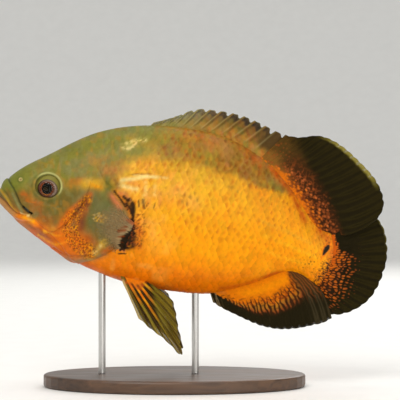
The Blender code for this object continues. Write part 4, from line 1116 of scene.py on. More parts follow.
def scale_tints(s, girth, u, v, s_at, z_at, side, bright, rng):
    """The body's paint, darker at each scale's root, with a dark dash on many orange ones."""
    count = len(s)
    tint = body_paint(s_at, z_at, side)
    orange = rise(redness(tint), 1.3, 0.8)
    where = rng.normal(0, 0.06, (2, count))[..., None, None]
    dash = bell(u - 0.62 - where[0], 0.13) * bell(v - 2 * where[1], 0.45)
    dash = dash * (0.1 + 1.0 * rng.random(count)[:, None, None])
    dash = dash * (0.3 + 0.9 * smooth((z_at + 20) / 30)) * (1 - 0.4 * fall(s_at, 105, 20))
    dash = dash * (0.45 + 0.55 * smooth((noise(s, girth, 14, 77)[:, None, None] - 0.3) * 3))
    root_shade = 0.06 + 0.12 * orange * rise(s_at, 88, 20)
    tint = tint * (bright * (1 - root_shade * bell(u - 0.46, 0.12)))[..., None]
    darker = tint * np.array(DASH_SHADE)
    tint = tint + (darker - tint) * (np.clip(dash, 0, 1) * orange * 0.85)[..., None]
    tint[..., 1] *= 1 + 0.10 * (rng.random(count)[:, None, None] - 0.5)
    return np.clip(tint, 0, MOST_PAINT)


def make_scales(side, word):
    points_table, normal_table, share_table, limits = body_table(side)
    rng = np.random.default_rng(17 if side < 0 else 18)
    s, girth, pitch, height, slope = placed_scales(points_table, limits, rng)
    count = len(s)
    lean = rng.normal(0, 0.04, count)[:, None, None]
    bright = rng.normal(1, 0.05, count)[:, None, None]

    u = np.linspace(0, 1, SCALE_ROWS)[None, :, None]
    v = np.linspace(-1, 1, SCALE_COLUMNS)[None, None, :]
    x = (u - 0.42) * 1.72 * pitch[:, None, None] + 0 * v
    across = v * scale_outline(u) * 1.12 * height[:, None, None]
    x = x - 0.10 * pitch[:, None, None] * v ** 2 * u
    s_at = s[:, None, None] + x
    girth_at = girth[:, None, None] - side * across + x * (slope[:, None, None] + lean)
    lowest, highest = (np.interp(s_at, limits[0], limit) for limit in limits[1:])
    girth_at = np.clip(girth_at, lowest + SCALE_MARGIN, highest - SCALE_MARGIN)
    flatter = 0.2 * fall(s, 96, 16)[:, None, None]
    lift = -SCALE_ROOT + (SCALE_LIFT + SCALE_ROOT - flatter) * u ** 0.8 * (1 - 0.35 * v ** 2)
    place, normal = (sample(table, s_at, girth_at) for table in (points_table, normal_table))
    top = place + normal * lift[..., None]
    under = place + normal * (lift - SCALE_THICKNESS)[..., None]
    tint = scale_tints(s, girth, u, v, s_at, place[..., 2], side, bright, rng)

    faces, places, below = lens_faces(SCALE_ROWS, SCALE_COLUMNS)
    patch_u = SCALE_PATCH * ((places // SCALE_COLUMNS) / (SCALE_ROWS - 1) - 0.5) + 0.0036 * below[:, None]
    patch_v = SCALE_PATCH * ((places % SCALE_COLUMNS) / (SCALE_COLUMNS - 1) - 0.5)
    root_share = sample(share_table, s, girth)
    look = painted_look("scales_" + word, (0.30, 0.44), 0.08, (1500, 0.2), 0.06, 0.12)
    half = (count + 1) // 2
    for name, part in (("front", slice(0, half)), ("rear", slice(half, count))):
        points = sheet_points(top[part], under[part])
        # The undersides get the same paint a twentieth darker: painted shade
        colours = sheet_points(tint[part], tint[part] * 0.95)
        here, each = points.shape[:2]
        quads = (faces[None] + each * np.arange(here)[:, None, None]).reshape(-1, 4)
        map_u = s[part][:, None, None] / MAP_LENGTH + patch_u
        map_v = skin_map(root_share[part], side > 0)[:, None, None] + patch_v
        uv = np.stack([map_u, map_v], axis=-1)
        build(f"scales_{word}_{name}", points, quads, colours, uv, look, "skin_flank", sharp_deg=50)


# Fins

def ray_ridges(u, v, rays, split):
    """Height of the rays from 0 to 1: each ridge forks past split and again near the margin."""
    phase = u * (rays - 1)
    away = np.abs(phase - np.round(phase))
    fork = 0.17 * rise(v, split, 0.25)
    again = 0.07 * rise(v - split, 0.28, 0.2)
    width = 0.15 - 0.055 * rise(v, split, 0.3)
    return np.maximum(bell(away - fork - again, width), bell(away - fork + again, width))


def fin_grids(rays, per_ray, rows):
    """Shares along a fin's base and out to its margin, as lists and as grids."""
    u = np.linspace(0, 1, (rays - 1) * per_ray + 1)
    v = np.linspace(0, 1, rows)
    return u, v, np.broadcast_to(u, (rows, len(u))), np.broadcast_to(v[:, None], (rows, len(u)))


def flat_fin(base, margin, v, sag, swing):
    """Middle surface of a fin in the fish's middle plane, [root to margin, front to rear, 3]."""
    out = v[:, None, None]
    way = margin - base
    beside_ray = np.stack([way[:, 1], -way[:, 0]], axis=1) / np.linalg.norm(way, axis=1)[:, None]
    bow = sag * np.linspace(0, 1, len(base))[None, :, None] ** 2 * np.sin(math.pi * out) * beside_ray[None]
    plane = base[None] + out * way[None] + bow
    drift = np.broadcast_to(swing * out[..., 0] ** SWING_POWER, plane.shape[:2])
    return np.stack([plane[..., 0], drift, plane[..., 1]], axis=-1)


def paired_fin(root, tips, v, camber):
    """Middle surface of a fin that stands out from the side, bowed by its camber."""
    out = v[:, None, None]
    way = tips - root
    bow = np.cross(way, np.gradient(root, axis=0))
    bow /= np.linalg.norm(bow, axis=1)[:, None]
    return root[None] + out * way[None] + camber * np.sin(math.pi * out) * bow[None]


def sunk_base(edge, u, ends, side):
    """A fin's base, sunk into the back or the belly."""
    s = ends[0] + u * (ends[1] - ends[0])
    return beside(np.stack([s, edge(s)], axis=1), side * FIN_SUNK)


def frayed(base, margin, u, rays, amount, seed):
    """The margin drawn in a little between rays and unevenly from ray to ray."""
    phase = u * (rays - 1)
    away = np.abs(phase - np.round(phase)) * 2
    ragged = 0.5 + noise(phase, phase * 0, 0.9, seed)
    way = margin - base
    length = np.linalg.norm(way, axis=1)
    return margin - way * (amount * away ** 1.6 * ragged / length)[:, None]


def ray_fin(base, margin_keys, grids, rays, fray, sag, swing, split):
    """A fin of forked rays in the middle plane: its middle surface, its ridges and how far out, in mm."""
    u, v, gu, gv = grids
    margin = line_points(margin_keys, u)
    centre = flat_fin(base, frayed(base, margin, u, rays, *fray), v, sag, swing)
    length = np.linalg.norm(margin - base, axis=1)
    return centre, ray_ridges(gu, gv, rays, split), gv * length[None] - FIN_SUNK


def fin_piece(name, centre, thickness, tint, clear, kind, replaced):
    """A fin from its middle surface, where kind is its material and a slot name that is not used."""
    half = grid_normals(centre) * thickness[..., None] / 2
    top, under = centre + half, centre - half
    rows, columns = thickness.shape
    top[-1], under[-1] = centre[-1], centre[-1]
    top[:, 0], top[:, -1] = centre[:, 0], centre[:, -1]
    faces, places, below = lens_faces(rows, columns)
    u = (places % columns) / (columns - 1)
    v = (places // columns) / (rows - 1)
    uv = np.stack([0.02 + 0.46 * u + 0.5 * below[:, None], 0.02 + 0.96 * v], axis=-1)
    film = np.c_[tint, clear[..., None]][None]
    both = sheet_points(film, film)[0]
    points = sheet_points(top[None], under[None])[0]
    look, slot = kind
    build(name, points, faces, both[:, :3], uv, look, slot, (replaced,), clear=both[:, 3], sharp_deg=75)


def flat_tint(name, like):
    return np.broadcast_to(rgb(name), like.shape + (3,)).copy()


def thin_out(v, root, tip, by=0.45):
    """A thickness that falls evenly from the root's to the tip's by this share of the way out."""
    return root + (tip - root) * np.minimum(v / by, 1)


def raised(ridge, v, height, gain, start=0.0, taper=0.5):
    """What the rays add to a fin's thickness."""
    return ridge * height * smooth((v - start) * gain) * (1 - taper * v)


def pleats(u, rays):
    """A wave from -1 to 1 with one turn from ray to ray."""
    return np.sin(u * (rays - 1) * 2 * math.pi)


def fin_dots(colour, s, z, out, reach, seed):
    """Uneven dots over the fin's root, orange near the body and wine red further out, where they fade."""
    away, own = cells(s + 0.4 * z, z, 2.3, seed, 0.36)
    share = out / reach
    size = 0.46 - 0.10 * smooth(share) + 0.22 * (own - 0.5)
    shown = smooth((size - away) / 0.2) * smooth((1.1 - share + 0.5 * (own - 0.5)) / 0.3)
    dot = layers(
        colour,
        ("ember", fall(share, 1.1, 0.4) + 0.2),
        ("fin orange", smooth((0.45 - share + 0.6 * (own - 0.5)) / 0.25) * 0.85),
        ("salmon", bell(share - 0.6, 0.25) * smooth((own - 0.7) * 6) * 0.3),
        ("wine", rise(share, 0.6, 0.3) * smooth((0.7 - own) * 6) * 0.8))
    return colour + (dot - colour) * (shown * (0.5 + 0.45 * own))[..., None]


def make_soft_fin(kind):
    grids = fin_grids(LOBE_RAYS, 12, 90)
    u, _, gu, gv = grids
    base = sunk_base(back_z, u, SOFT_BASE_S, 1)
    centre, ridge, out = ray_fin(base, SOFT_MARGIN, grids, LOBE_RAYS, (0.6, 5), 9.5, -LOBE_SWING, 0.42)
    thickness = thin_out(gv, 4.4, 0.55, 0.4) * (0.6 + 0.4 * smooth(gu / 0.1)) + raised(ridge, gv, 0.8, 4)
    s, z = centre[..., 0], centre[..., 2]
    far = out + 5 * (grain(s, z, 4.0, 61) - 0.5)
    tint = layers(
        flat_tint("fin", gv),
        ("fin brown", smooth((30 - 26 * gu - far) / 16 + 0.3) * fall(gu, 0.85, 0.5)),
        ("maroon", fall(far, 24, 10) * rise(gu, 0.1, 0.25) * 0.8),
        ("brown", smooth((15 - 13 * gu - far) / 10) * fall(gu, 0.75, 0.35) * 0.8),
        ("rust", fall(far, 8, 5) * rise(gu, 0.2, 0.3) * 0.5))
    dusted = 0.5 * smooth((26 - 20 * gu - far) / 12) * fall(gu, 0.5, 0.3)
    tint = specks(tint, s, z, 3.0, 0.3, "ember", dusted, 69)
    edge = fall(far, 3.5, 3.0) * rise(gu, 0.1, 0.3)
    tint = layers(
        tint,
        ("fin orange", edge * smooth((grain(s, z, 2.6, 63) - 0.3) * 6)),
        ("ember", worms(s, z, 2.2, 0.12, 67) * fall(far, 22, 10) * rise(gu, 0.15, 0.3) * 0.5))
    tint = fin_dots(tint, s, z, out, np.interp(gu, *SOFT_DOTS_REACH), 65)
    rim = rise(gv, 0.935, 0.035) * rise(gu, 0.2, 0.2) * fall(gu, 0.8, 0.15)
    tint = layers(tint, ("dusky", ridge * 0.05 * rise(gv, 0.35, 0.2)), ("rim", rim * 0.85))
    clear = 0.4 * rim * (1 - 0.6 * ridge)
    fin_piece("soft_dorsal", centre, thickness, tint, clear, kind, "dorsal_fin_soft")


def anal_bars(gu, s, z, out, share):
    """The anal fin's orange bars between dark rays, from 0 to 1, and the row that each place is in."""
    row = gu * (LOBE_RAYS - 1) * 1.6 + 0.7 * (noise(s, z, 3.0, 72) - 0.5)
    column = np.floor(row)
    across = np.abs(row - column - 0.5) * 2
    step = out / 7.0 + 3 * noise(column, column * 0, 0.8, 73)
    cross = fall(np.abs(step - np.floor(step) - 0.5), 0.46, 0.08)
    wide = np.interp(share, [-0.5, -0.1, 0.3, 1.0], [1.35, 0.9, 0.72, 0.5])
    bright = noise(column * 1.7, np.floor(step) * 1.3, 0.7, 74)
    bars = smooth((wide + 0.3 * (bright - 0.5) - across) / 0.3) * (0.45 + 0.55 * cross)
    return bars * fall(share, 1.05, 0.3) * (0.5 + 0.7 * bright), row


def make_anal_fin(kind):
    grids = fin_grids(LOBE_RAYS, 12, 80)
    u, _, gu, gv = grids
    base = sunk_base(belly_z, u, ANAL_BASE_S, -1)
    centre, ridge, out = ray_fin(base, ANAL_MARGIN, grids, LOBE_RAYS, (0.6, 6), -5.5, -LOBE_SWING, 0.45)
    thickness = thin_out(gv, 5.0, 0.55, 0.5) + raised(ridge, gv, 0.8, 4, 0.25)
    s, z = centre[..., 0], centre[..., 2]
    far = out + 4 * (grain(s, z, 4.0, 71) - 0.5)
    flesh, barred = np.interp(gu, *ANAL_FLESH_REACH), np.interp(gu, *ANAL_BARS_REACH)
    share = (far - flesh) / np.maximum(barred - flesh, 1)
    bars, row = anal_bars(gu, s, z, out, share)
    rear = rise(gu, 0.82, 0.06)
    tint = layers(
        flat_tint("fin", gv),
        ("maroon", smooth((barred + 2 - far) / 6) * 0.8),
        ("fin brown", rear * fall(out, 26, 16) * 0.7))
    bar_tint = ramp(share + 0 * gv, ANAL_BAR_TINTS)
    tint = tint + (bar_tint - tint) * (np.clip(bars, 0, 1) * (1 - rear))[..., None]
    fine = fall(np.abs(np.mod(row * 1.3, 1) - 0.5), 0.3, 0.2)
    solid = smooth((flesh - 2 - far) / 5)
    tint = layers(
        tint,
        ("ember", rear * fine * fall(out, 30, 16) * 0.5),
        ("orange", solid),
        ("grey", solid * fall(gu, 0.22, 0.15) * 0.4),
        ("amber", solid * bell(out - 6 * smooth(gu * 2), 3.5) * rise(gu, 0.2, 0.25) * 0.45))
    between = bell(share - 0.05, 0.3) * (1 - rear)
    tint = specks(tint, s, z, 2.1, 0.32, "maroon", between * 0.9, 75)
    tint = layers(
        tint,
        ("rust", worms(s, z * 0.6, 2.0, 0.12, 77) * between * 0.6),
        ("grey", ridge * 0.12 * rear * rise(gv, 0.3, 0.2)),
        ("grey", fall(gu, 0.12, 0.06) * ridge * 0.6))
    clear = 0.3 * rise(gv, 0.95, 0.04) * (1 - ridge)
    fin_piece("anal_fin_rays", centre, thickness, tint, clear, kind, "anal_fin")


def make_caudal_fin(kind):
    grids = fin_grids(CAUDAL_RAYS, 14, 90)
    u, _, gu, gv = grids
    root = CAUDAL_ROOT[0] + (CAUDAL_ROOT[1] - CAUDAL_ROOT[0]) * u
    base = line_points(CAUDAL_BASE, root) - np.array([FIN_SUNK, 0])
    centre, ridge, out = ray_fin(base, CAUDAL_MARGIN, grids, CAUDAL_RAYS, (0.8, 7), 0.0, CAUDAL_SWING, 0.34)
    stem = 1.7 * half_width_at(base[:, 0], base[:, 1])[None] * fall(out, 14, 14) ** 1.5
    thickness = thin_out(gv, 2.0, 0.55, 0.45) + stem + raised(ridge, gv, 0.9, 5)
    tint = tail_marks(flat_tint("red orange", gv), root[None] + 0 * gv, out)
    rim = rise(gv, 0.965, 0.03) * fall(gu, 0.36, 0.2)
    tint = layers(tint, ("dusky", ridge * 0.05 * rise(gv, 0.4, 0.2)), ("rim", rim * 0.55))
    clear = 0.4 * rim * (1 - 0.6 * ridge)
    fin_piece("tail_fin", centre, thickness, tint, clear, kind, "caudal_fin")


def spiny_margin(u, base):
    """The spiny fin's margin, cut down behind each spine's tip."""
    margin = line_points(SPINY_TIPS, u)
    phase = u * (SPINES - 1)
    spine = np.floor(phase + 1e-6)
    rough = 0.65 + 0.7 * noise(spine * 1.7, phase * 0, 0.8, 91)
    cut = 0.02 + 0.11 * rise(phase - spine, 0.35, 0.5) ** 1.5
    cut = cut * rough * np.clip(phase / 3, 0.3, 1) + 0.03 * (noise(phase * 4, phase * 0, 1.0, 93) - 0.5)
    cut[0], cut[-1] = 0, 0
    return margin - cut[:, None] * (margin - base)


def spiny_tint(gu, gv, s, z, out, top, away, after, rear):
    """Grey green in front and brown behind, with pale spines, dark flaps behind their tips and painted shade
    in the fold just behind each spine.
    """
    tint = layers(
        flat_tint("grey green", gv) * 1.12,
        ("bronze", fall(out, 12, 8) * (1 - rear) * 0.3),
        ("gold brown", 0.8 * rear * fall(gv, 0.8, 0.4)),
        ("brown", 0.85 * rear * rise(gv, 0.3, 0.4)),
        ("olive", 0.5 * patches(s, z, 4.0, 31, 0.45, 4)))
    tint = flecked(tint, s, z, BACK_FLECKS, 0.1 + 0.8 * rear, 330)
    ragged = 1.5 * (noise(s, z, 1.6, 85) - 0.5)
    flap = smooth((out - top + 5.2 + ragged) / 2.2) * rise(after, 0.12, 0.12) * (0.3 + 0.6 * rear)
    pale_edge = smooth((out - top + 0.9) / 0.4) * (1 - 0.5 * rear)
    return layers(
        tint,
        # Painted shade in the pleat's fold just behind each spine
        ("dark", 0.5 * bell(after - 0.25, 0.14) * rise(out, 2, 5)),
        ("fin brown", rear * rise(gv, 0.35, 0.4) * 0.5),
        ("flap", flap),
        ("fin", flap * 0.55 * rear),
        ("spine", pale_edge * 0.5),
        ("fin brown", rise(gu, 0.82, 0.12) * rise(out, 3, 6)),
        ("spine", bell(away, 0.07) * rise(out, 1, 5) * (0.7 - 0.4 * rear)))


def make_spiny_fin(kind):
    u, v, gu, gv = fin_grids(SPINES, 16, 56)
    base = sunk_base(back_z, u - SPINE_LEAN * np.sin(math.pi * u), SPINY_BASE_S, 1)
    margin = spiny_margin(u, base)
    length = np.linalg.norm(margin - base, axis=1)
    centre = flat_fin(base, margin, v, 0.0, 0.0)
    phase = gu * (SPINES - 1)
    away = np.abs(phase - np.round(phase))
    ridge = bell(away, 0.11)
    centre[..., 1] += 0.5 * pleats(gu, SPINES) * gv
    thickness = thin_out(gv, 2.6, 0.5, 0.5) + raised(ridge, gv, 0.7, 5, taper=0.62)
    after = phase - np.floor(phase + 1e-6)
    rear = rise(gu, 0.2, 0.5)
    out, top = gv * length[None] - FIN_SUNK, length[None] - FIN_SUNK
    tint = spiny_tint(gu, gv, centre[..., 0], centre[..., 2], out, top, away, after, rear)
    clear = 0.3 * rise(gv, 0.4, 0.3) * (1 - ridge) * (1 - 0.75 * rear)
    fin_piece("spiny_dorsal", centre, thickness, tint, clear, kind, "dorsal_fin_spiny")


def make_pectoral_fin(word, side, kind):
    rays = PECTORAL_RAYS
    u, v, gu, gv = fin_grids(rays, 12, 60)
    flat = line_points(PECTORAL_ROOT, u)
    depth = half_width_at(flat[:, 0], flat[:, 1]) - PAIRED_SUNK
    root = np.stack([flat[:, 0], side * depth, flat[:, 1]], axis=1)
    tips = line_points(PECTORAL_TIPS, u) * np.array([1, side, 1])
    centre = paired_fin(root, frayed(root, tips, u, rays, 0.8, 9), v, side * 3.0)
    centre = centre + 0.35 * pleats(gu, rays)[..., None] * gv[..., None] * grid_normals(centre)
    ridge = ray_ridges(gu, gv, rays, 0.45)
    thickness = thin_out(gv, 2.2, 0.42, 0.4) + raised(ridge, gv, 0.6, 5)
    root_dark = np.interp(gu, *PECTORAL_DARK_REACH)
    out = gv + 0.16 * (grain(gu * 26, gv * 3, 1.0, 37) - 0.5)
    strand = bell(gu - 0.36 - 0.5 * (gv - 0.2), 0.04) + bell(gu - 0.52 - 0.4 * (gv - 0.2), 0.025)
    strand = strand + bell(gu - 0.2 - 0.6 * (gv - 0.1), 0.03) + 0.6 * bell(gu - 0.72, 0.02)
    tint = layers(
        flat_tint("film", gv),
        ("grey", 0.5 * noise(gu * 20, gv * 10, 2.0, 35)),
        ("cover", rise(gu, 0.3, 0.4) * rise(gv, 0.45, 0.3) * 0.5),
        ("fin brown", ridge * 0.2),
        ("salmon", fall(gu, 0.16, 0.1) * fall(out, 0.34, 0.1) * 0.8),
        ("black", smooth((root_dark - out) / 0.06) * 0.96),
        ("rust", strand * fall(out, 0.33, 0.05) * rise(gv, 0.14, 0.05) * 0.8))
    clear = 0.45 * smooth((gv - root_dark - 0.02) / 0.15) + 0.5 * rise(gv, 0.55, 0.4)
    clear = clear * (1 - 0.45 * ridge * (1 - 0.7 * gv))
    fin_piece("breast_fin_" + word, centre, thickness, tint, clear, kind, "pectoral_fin_" + word)


def pelvic_tint(gu, gv):
    """Olive with fine dark lines, orange stripes in the inner half, and how near the dark inner half is."""
    warp = noise(gu * 24, gv * 8, 1.5, 36) - 0.5
    lines = np.abs(np.mod(gu * (PELVIC_RAYS - 1) * 0.9 + 0.3 * warp, 1) - 0.5)
    phase = gu * 5.2 + 0.25 + 0.25 * warp
    stripe = fall(np.abs(phase - np.floor(phase) - 0.5), 0.26, 0.1)
    near = smooth((np.interp(gu, *PELVIC_DARK_REACH) - gv + 0.12 * warp) / 0.2) * rise(gu, 0.1, 0.05)
    glow = smooth((np.interp(gu, *PELVIC_BRIGHT_REACH) - gv + 0.15 * warp) / 0.25)
    patchy = 0.45 + 0.55 * patches(gu * 14, gv * 9, 1.0, 38, 0.35, 5)
    middle = bell(phase - np.floor(phase) - 0.5, 0.12) * patches(gu * 20, gv * 14, 1.2, 40, 0.4, 5)
    tint = layers(
        flat_tint("dusky", gv),
        ("rim", 0.6 * patches(gu * 12, gv * 5, 1.5, 34, 0.4, 4)),
        ("fin brown", 0.8 * fall(lines, 0.17, 0.12) * rise(gv, 0.3, 0.2)),
        ("gold", 0.35 * rise(lines, 0.38, 0.1) * rise(gv, 0.4, 0.2)),
        ("fin brown", 0.35 * patches(gu * 30, gv * 7, 2.0, 39, 0.5, 4)),
        ("maroon", near * (1 - stripe) * 0.9),
        ("fin", near * (1 - stripe) * 0.65),
        ("fin orange", glow * stripe * patchy * rise(gu, 0.08, 0.05)),
        ("yellow", glow * middle * rise(gu, 0.2, 0.1) * 0.75),
        ("orange", smooth((0.14 - gv + 0.05 * warp) / 0.05) * rise(gu, 0.12, 0.1)),
        ("red orange", bell(gv - 0.15, 0.03) * patchy * 0.8),
        ("salmon", fall(gu, 0.12, 0.05) * bell(gv - 0.3, 0.15) * 0.4),
        ("fin brown", 0.25 * rise(gv, 0.35, 0.3)),
        ("pale", fall(gu, 0.06, 0.03) * rise(gv, 0.1, 0.06) * 0.75),
        ("pale", bell(gu - 0.03, 0.05) * rise(gv, 0.93, 0.04) * 0.8))
    return tint, near


def make_pelvic_fin(word, side, kind):
    rays = PELVIC_RAYS
    u, v, gu, gv = fin_grids(rays, 14, 70)
    s = PELVIC_ROOT_S[0] + u * (PELVIC_ROOT_S[1] - PELVIC_ROOT_S[0])
    root = np.stack([s, np.full(len(s), side * PELVIC_ROOT_Y), belly_z(s) + PAIRED_SUNK], axis=1)
    tips = line_points(PELVIC_TIPS, u) * np.array([1, side, 1])
    centre = paired_fin(root, frayed(root, tips, u, rays, 0.9, 10), v, -side * 2.0)
    centre = centre + (0.5 * pleats(gu, rays) * smooth(gv * 3))[..., None] * grid_normals(centre)
    ridge = ray_ridges(gu, gv, rays, 0.5)
    thickness = thin_out(gv, 2.3, 0.45, 0.4) + raised(ridge, gv, 0.65, 5)
    tint, near = pelvic_tint(gu, gv)
    clear = 0.3 * rise(gv, 0.4, 0.3) * (1 - ridge) * (1 - 0.7 * near)
    fin_piece("belly_fin_" + word, centre, thickness, tint, clear, kind, "pelvic_fin_" + word)


# Eyes

IRIS_CENTRE = (0.1, -2.1)
IRIS_RADIUS = 7.2
IRIS_FLAT = 0.17
PUPIL_RADIUS = 3.75
EYE_RINGS = 64
EYE_SEGMENTS = 128
CORNEA_RINGS = 24
IRIS_TINTS = [
    (0, "pupil"), (PUPIL_RADIUS - 0.3, "pupil"), (PUPIL_RADIUS + 0.2, "eye brown"),
    (PUPIL_RADIUS + 0.6, "eye red"), (PUPIL_RADIUS + 1.1, "eye red"), (PUPIL_RADIUS + 1.5, "eye brown"),
    (PUPIL_RADIUS + 1.9, "eye plum"), (6.4, "eye plum"), (6.9, "eye brown"), (IRIS_RADIUS, "eye brown"),
    (IRIS_RADIUS + 0.4, "eye olive"), (9.5, "eye olive")]


def eye_matrix(side):
    """The eye's own frame in the fish's frame: its third axis points out of the head."""
    s, z = EYE_CENTRE
    reach = 4.0
    out_s = -(half_width_at(s + reach, z) - half_width_at(s - reach, z)) / (2 * reach)
    out_z = -(half_width_at(s, z + reach) - half_width_at(s, z - reach)) / (2 * reach)
    outward = Vector((out_s, side, out_z)).normalized()
    place = Vector((s, side * half_width_at(s, z), z)) - outward * EYE_SUNK
    along = Vector((1, 0, 0)) - outward * outward.x
    along.normalize()
    up = outward.cross(along) * (-1 if side < 0 else 1)
    turn = Matrix((along, up if up.z > 0 else -up, outward)).transposed()
    return np.array(turn), np.array(place)


def iris_distance(across, up):
    """Distance from the pupil's middle, in which the iris, wider than high, is a circle."""
    across, up = across - IRIS_CENTRE[0], up - IRIS_CENTRE[1]
    flat = 1 + IRIS_FLAT * rise(np.hypot(across, up), PUPIL_RADIUS, 2.5)
    return np.hypot(across, up * flat)


def disc(radius, angle):
    return np.stack([radius * np.cos(angle), radius * np.sin(angle)], axis=-1)


def iris_tint(across, up, from_iris, round_iris, fibre):
    """Rings of colour round the pupil, brighter on the right, where a mauve crescent is a painted highlight,
    with a brown glint on the pupil as a painted reflection and fibres that run outwards.
    """
    tint = ramp(from_iris, IRIS_TINTS)
    right = smooth(0.5 + 0.75 * np.cos(round_iris - math.radians(38)))
    from_pupil = from_iris - PUPIL_RADIUS
    glint = np.hypot(across - IRIS_CENTRE[0] + 0.9, (up - IRIS_CENTRE[1] + 0.5) * 1.3)
    tint = layers(
        tint,
        # On the right, a darker inner ring and a mauve crescent as painted highlight; on the pupil, a brown
        # glint as painted reflection
        ("eye brown", bell(from_pupil - 0.8, 0.5) * right * 0.75),
        ("eye mauve", bell(from_iris - 6.3, 0.85) * right * 0.9),
        ("gold brown", bell(from_pupil - 0.8, 0.35) * bell(round_iris + 1.7, 0.7) * 0.7),
        ("fin brown", bell(glint, 1.5) * 0.4))
    shade = 1 + 0.5 * (fibre - 0.5) * fall(from_iris, IRIS_RADIUS, 0.6) * rise(from_iris, 3.6, 0.5)
    return tint * shade[..., None]


def make_eyeball(word, turn, place, angle, look):
    """The eyeball with its flat iris, closed behind."""
    share = np.linspace(0, 1, EYE_RINGS)[:, None]
    polar = share * math.pi * 0.62
    radius = EYE_RADIUS * np.sin(polar) * 0.985
    across, up = radius * np.cos(angle), radius * np.sin(angle)
    from_iris = iris_distance(across, up)
    round_iris = np.arctan2(up - IRIS_CENTRE[1], across - IRIS_CENTRE[0])
    fibre = noise((round_iris + math.pi) * 22, from_iris * 0.35, 1.0, 51)
    height = EYE_DEPTH * np.cos(polar) - 0.8 * fall(from_iris, IRIS_RADIUS, 0.9)
    height = height + 0.10 * (fibre - 0.5) * fall(from_iris, IRIS_RADIUS, 0.8) * rise(from_iris, 3, 2)
    points = np.stack([across, up, height], axis=-1) @ turn.T + place
    tint = iris_tint(across, up, from_iris, round_iris, fibre)
    quads = ring_quads(EYE_RINGS, EYE_SEGMENTS)
    flat = 0.5 + disc(radius / EYE_RADIUS, angle) * (0.2 + 0.28 * share[..., None])
    made = build("eyeball_" + word, points, quads, tint, flat.reshape(-1, 2)[quads], look, "eye",
                 ("eye_" + word,), join=0.001)
    close_back(made)


def make_cornea(word, turn, place, angle, look):
    """The clear dome over the iris."""
    share = np.linspace(0, 1, CORNEA_RINGS)[:, None]
    radius = (IRIS_RADIUS + 0.35) * share
    across = radius * np.cos(angle) + IRIS_CENTRE[0]
    up = radius * np.sin(angle) * (1 - IRIS_FLAT) + IRIS_CENTRE[1]
    ball = EYE_DEPTH * np.sqrt(np.maximum(1 - (across ** 2 + up ** 2) / EYE_RADIUS ** 2, 0))
    points = np.stack([across, up, ball + 0.35 * (1 - share ** 2) - 0.04], axis=-1) @ turn.T + place
    quads = ring_quads(CORNEA_RINGS, EYE_SEGMENTS)
    flat = 0.5 + 0.45 * disc(share, angle)
    build("cornea_" + word, points, quads, np.ones(points.shape), flat.reshape(-1, 2)[quads], look, "eye",
          join=0.001)


def make_eye(word, side, iris, cornea):
    turn, place = eye_matrix(side)
    angle = np.linspace(0, 2 * math.pi, EYE_SEGMENTS, endpoint=False)[None]
    make_eyeball(word, turn, place, angle, iris)
    make_cornea(word, turn, place, angle, cornea)


def close_back(thing):
    """Fills the open ring behind the eye."""
    maker = bmesh.new()
    maker.from_mesh(thing.data)
    rim = [edge for edge in maker.edges if edge.is_boundary]
    bmesh.ops.holes_fill(maker, edges=rim, sides=0)
    bmesh.ops.recalc_face_normals(maker, faces=maker.faces)
    maker.to_mesh(thing.data)
    maker.free()


def eye_look():
    look, tree, surface, place = new_look("eye_iris")
    paint = node(tree, "Attribute", attribute_name="paint").outputs["Color"]
    fine = noise_node(tree, place, 2200, 4)
    feed(tree, surface, {
        "Base Color": scaled(tree, paint, to_range(tree, fine, 0.94, 1.06)),
        "Roughness": to_range(tree, fine, 0.16, 0.3),
        "Normal": bump(tree, fine, 0.08, 0.00005),
        "Specular IOR Level": 0.06})
    return look


def cornea_look():
    """Clear and wet: light passes unbent, and a thin gloss lies over it."""
    look, tree, surface, place = new_look("eye_cornea")
    clear = node(tree, "BsdfTransparent").outputs["BSDF"]
    rough = to_range(tree, noise_node(tree, place, 900), 0.02, 0.05)
    gloss = node(tree, "BsdfGlossy", {"Roughness": rough}).outputs["BSDF"]
    facing = node(tree, "Fresnel", {"IOR": 1.2}).outputs["Fac"]
    both = node(tree, "MixShader", {"Fac": facing, 1: clear, 2: gloss}).outputs["Shader"]
    feed(tree, tree.nodes["Material Output"], {"Surface": both})
    tree.nodes.remove(surface)
    return look


# Stand

WOOD_TONES = [(0.34, (0.030, 0.014, 0.007, 1)), (0.66, (0.125, 0.062, 0.030, 1))]
STEEL_TONE = (0.62, 0.61, 0.59)


def wood_look():
    look, tree, surface, place = new_look("stand_walnut")
    stretched = node(tree, "Mapping", {"Vector": place, "Scale": (6, 60, 60)}).outputs["Vector"]
    lines = noise_node(tree, stretched, 3.4, 8, 1.2)
    mixed = average(tree, noise_node(tree, stretched, 1.2, 4), lines, 0.5)
    tones = node(tree, "ValToRGB", {"Fac": mixed})
    for stop, (where, colour) in zip(tones.color_ramp.elements, WOOD_TONES):
        stop.position = where
        stop.color = colour
    feed(tree, surface, {
        "Base Color": tones.outputs["Color"],
        "Roughness": to_range(tree, lines, 0.32, 0.5),
        "Normal": bump(tree, mixed, 0.25, 0.0003),
        "Coat Weight": 0.15,
        "Coat Roughness": 0.25})
    return look


def steel_look():
    look, tree, surface, place = new_look("stand_brushed_steel")
    stretched = node(tree, "Mapping", {"Vector": place, "Scale": (1400, 1400, 40)}).outputs["Vector"]
    brushed = noise_node(tree, stretched, 1.0, 4)
    feed(tree, surface, {
        "Base Color": scaled(tree, STEEL_TONE, to_range(tree, brushed, 0.82, 1.05)),
        "Roughness": to_range(tree, brushed, 0.24, 0.4),
        "Normal": bump(tree, brushed, 0.12, 0.0001),
        "Metallic": 1.0})
    return look


def dress_stand():
    wood, steel = wood_look(), steel_look()
    for name, look in (("stand_base", wood), ("stand_rod_front", steel), ("stand_rod_back", steel)):
        for material_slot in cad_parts[name].material_slots:
            material_slot.material = look


# Studio

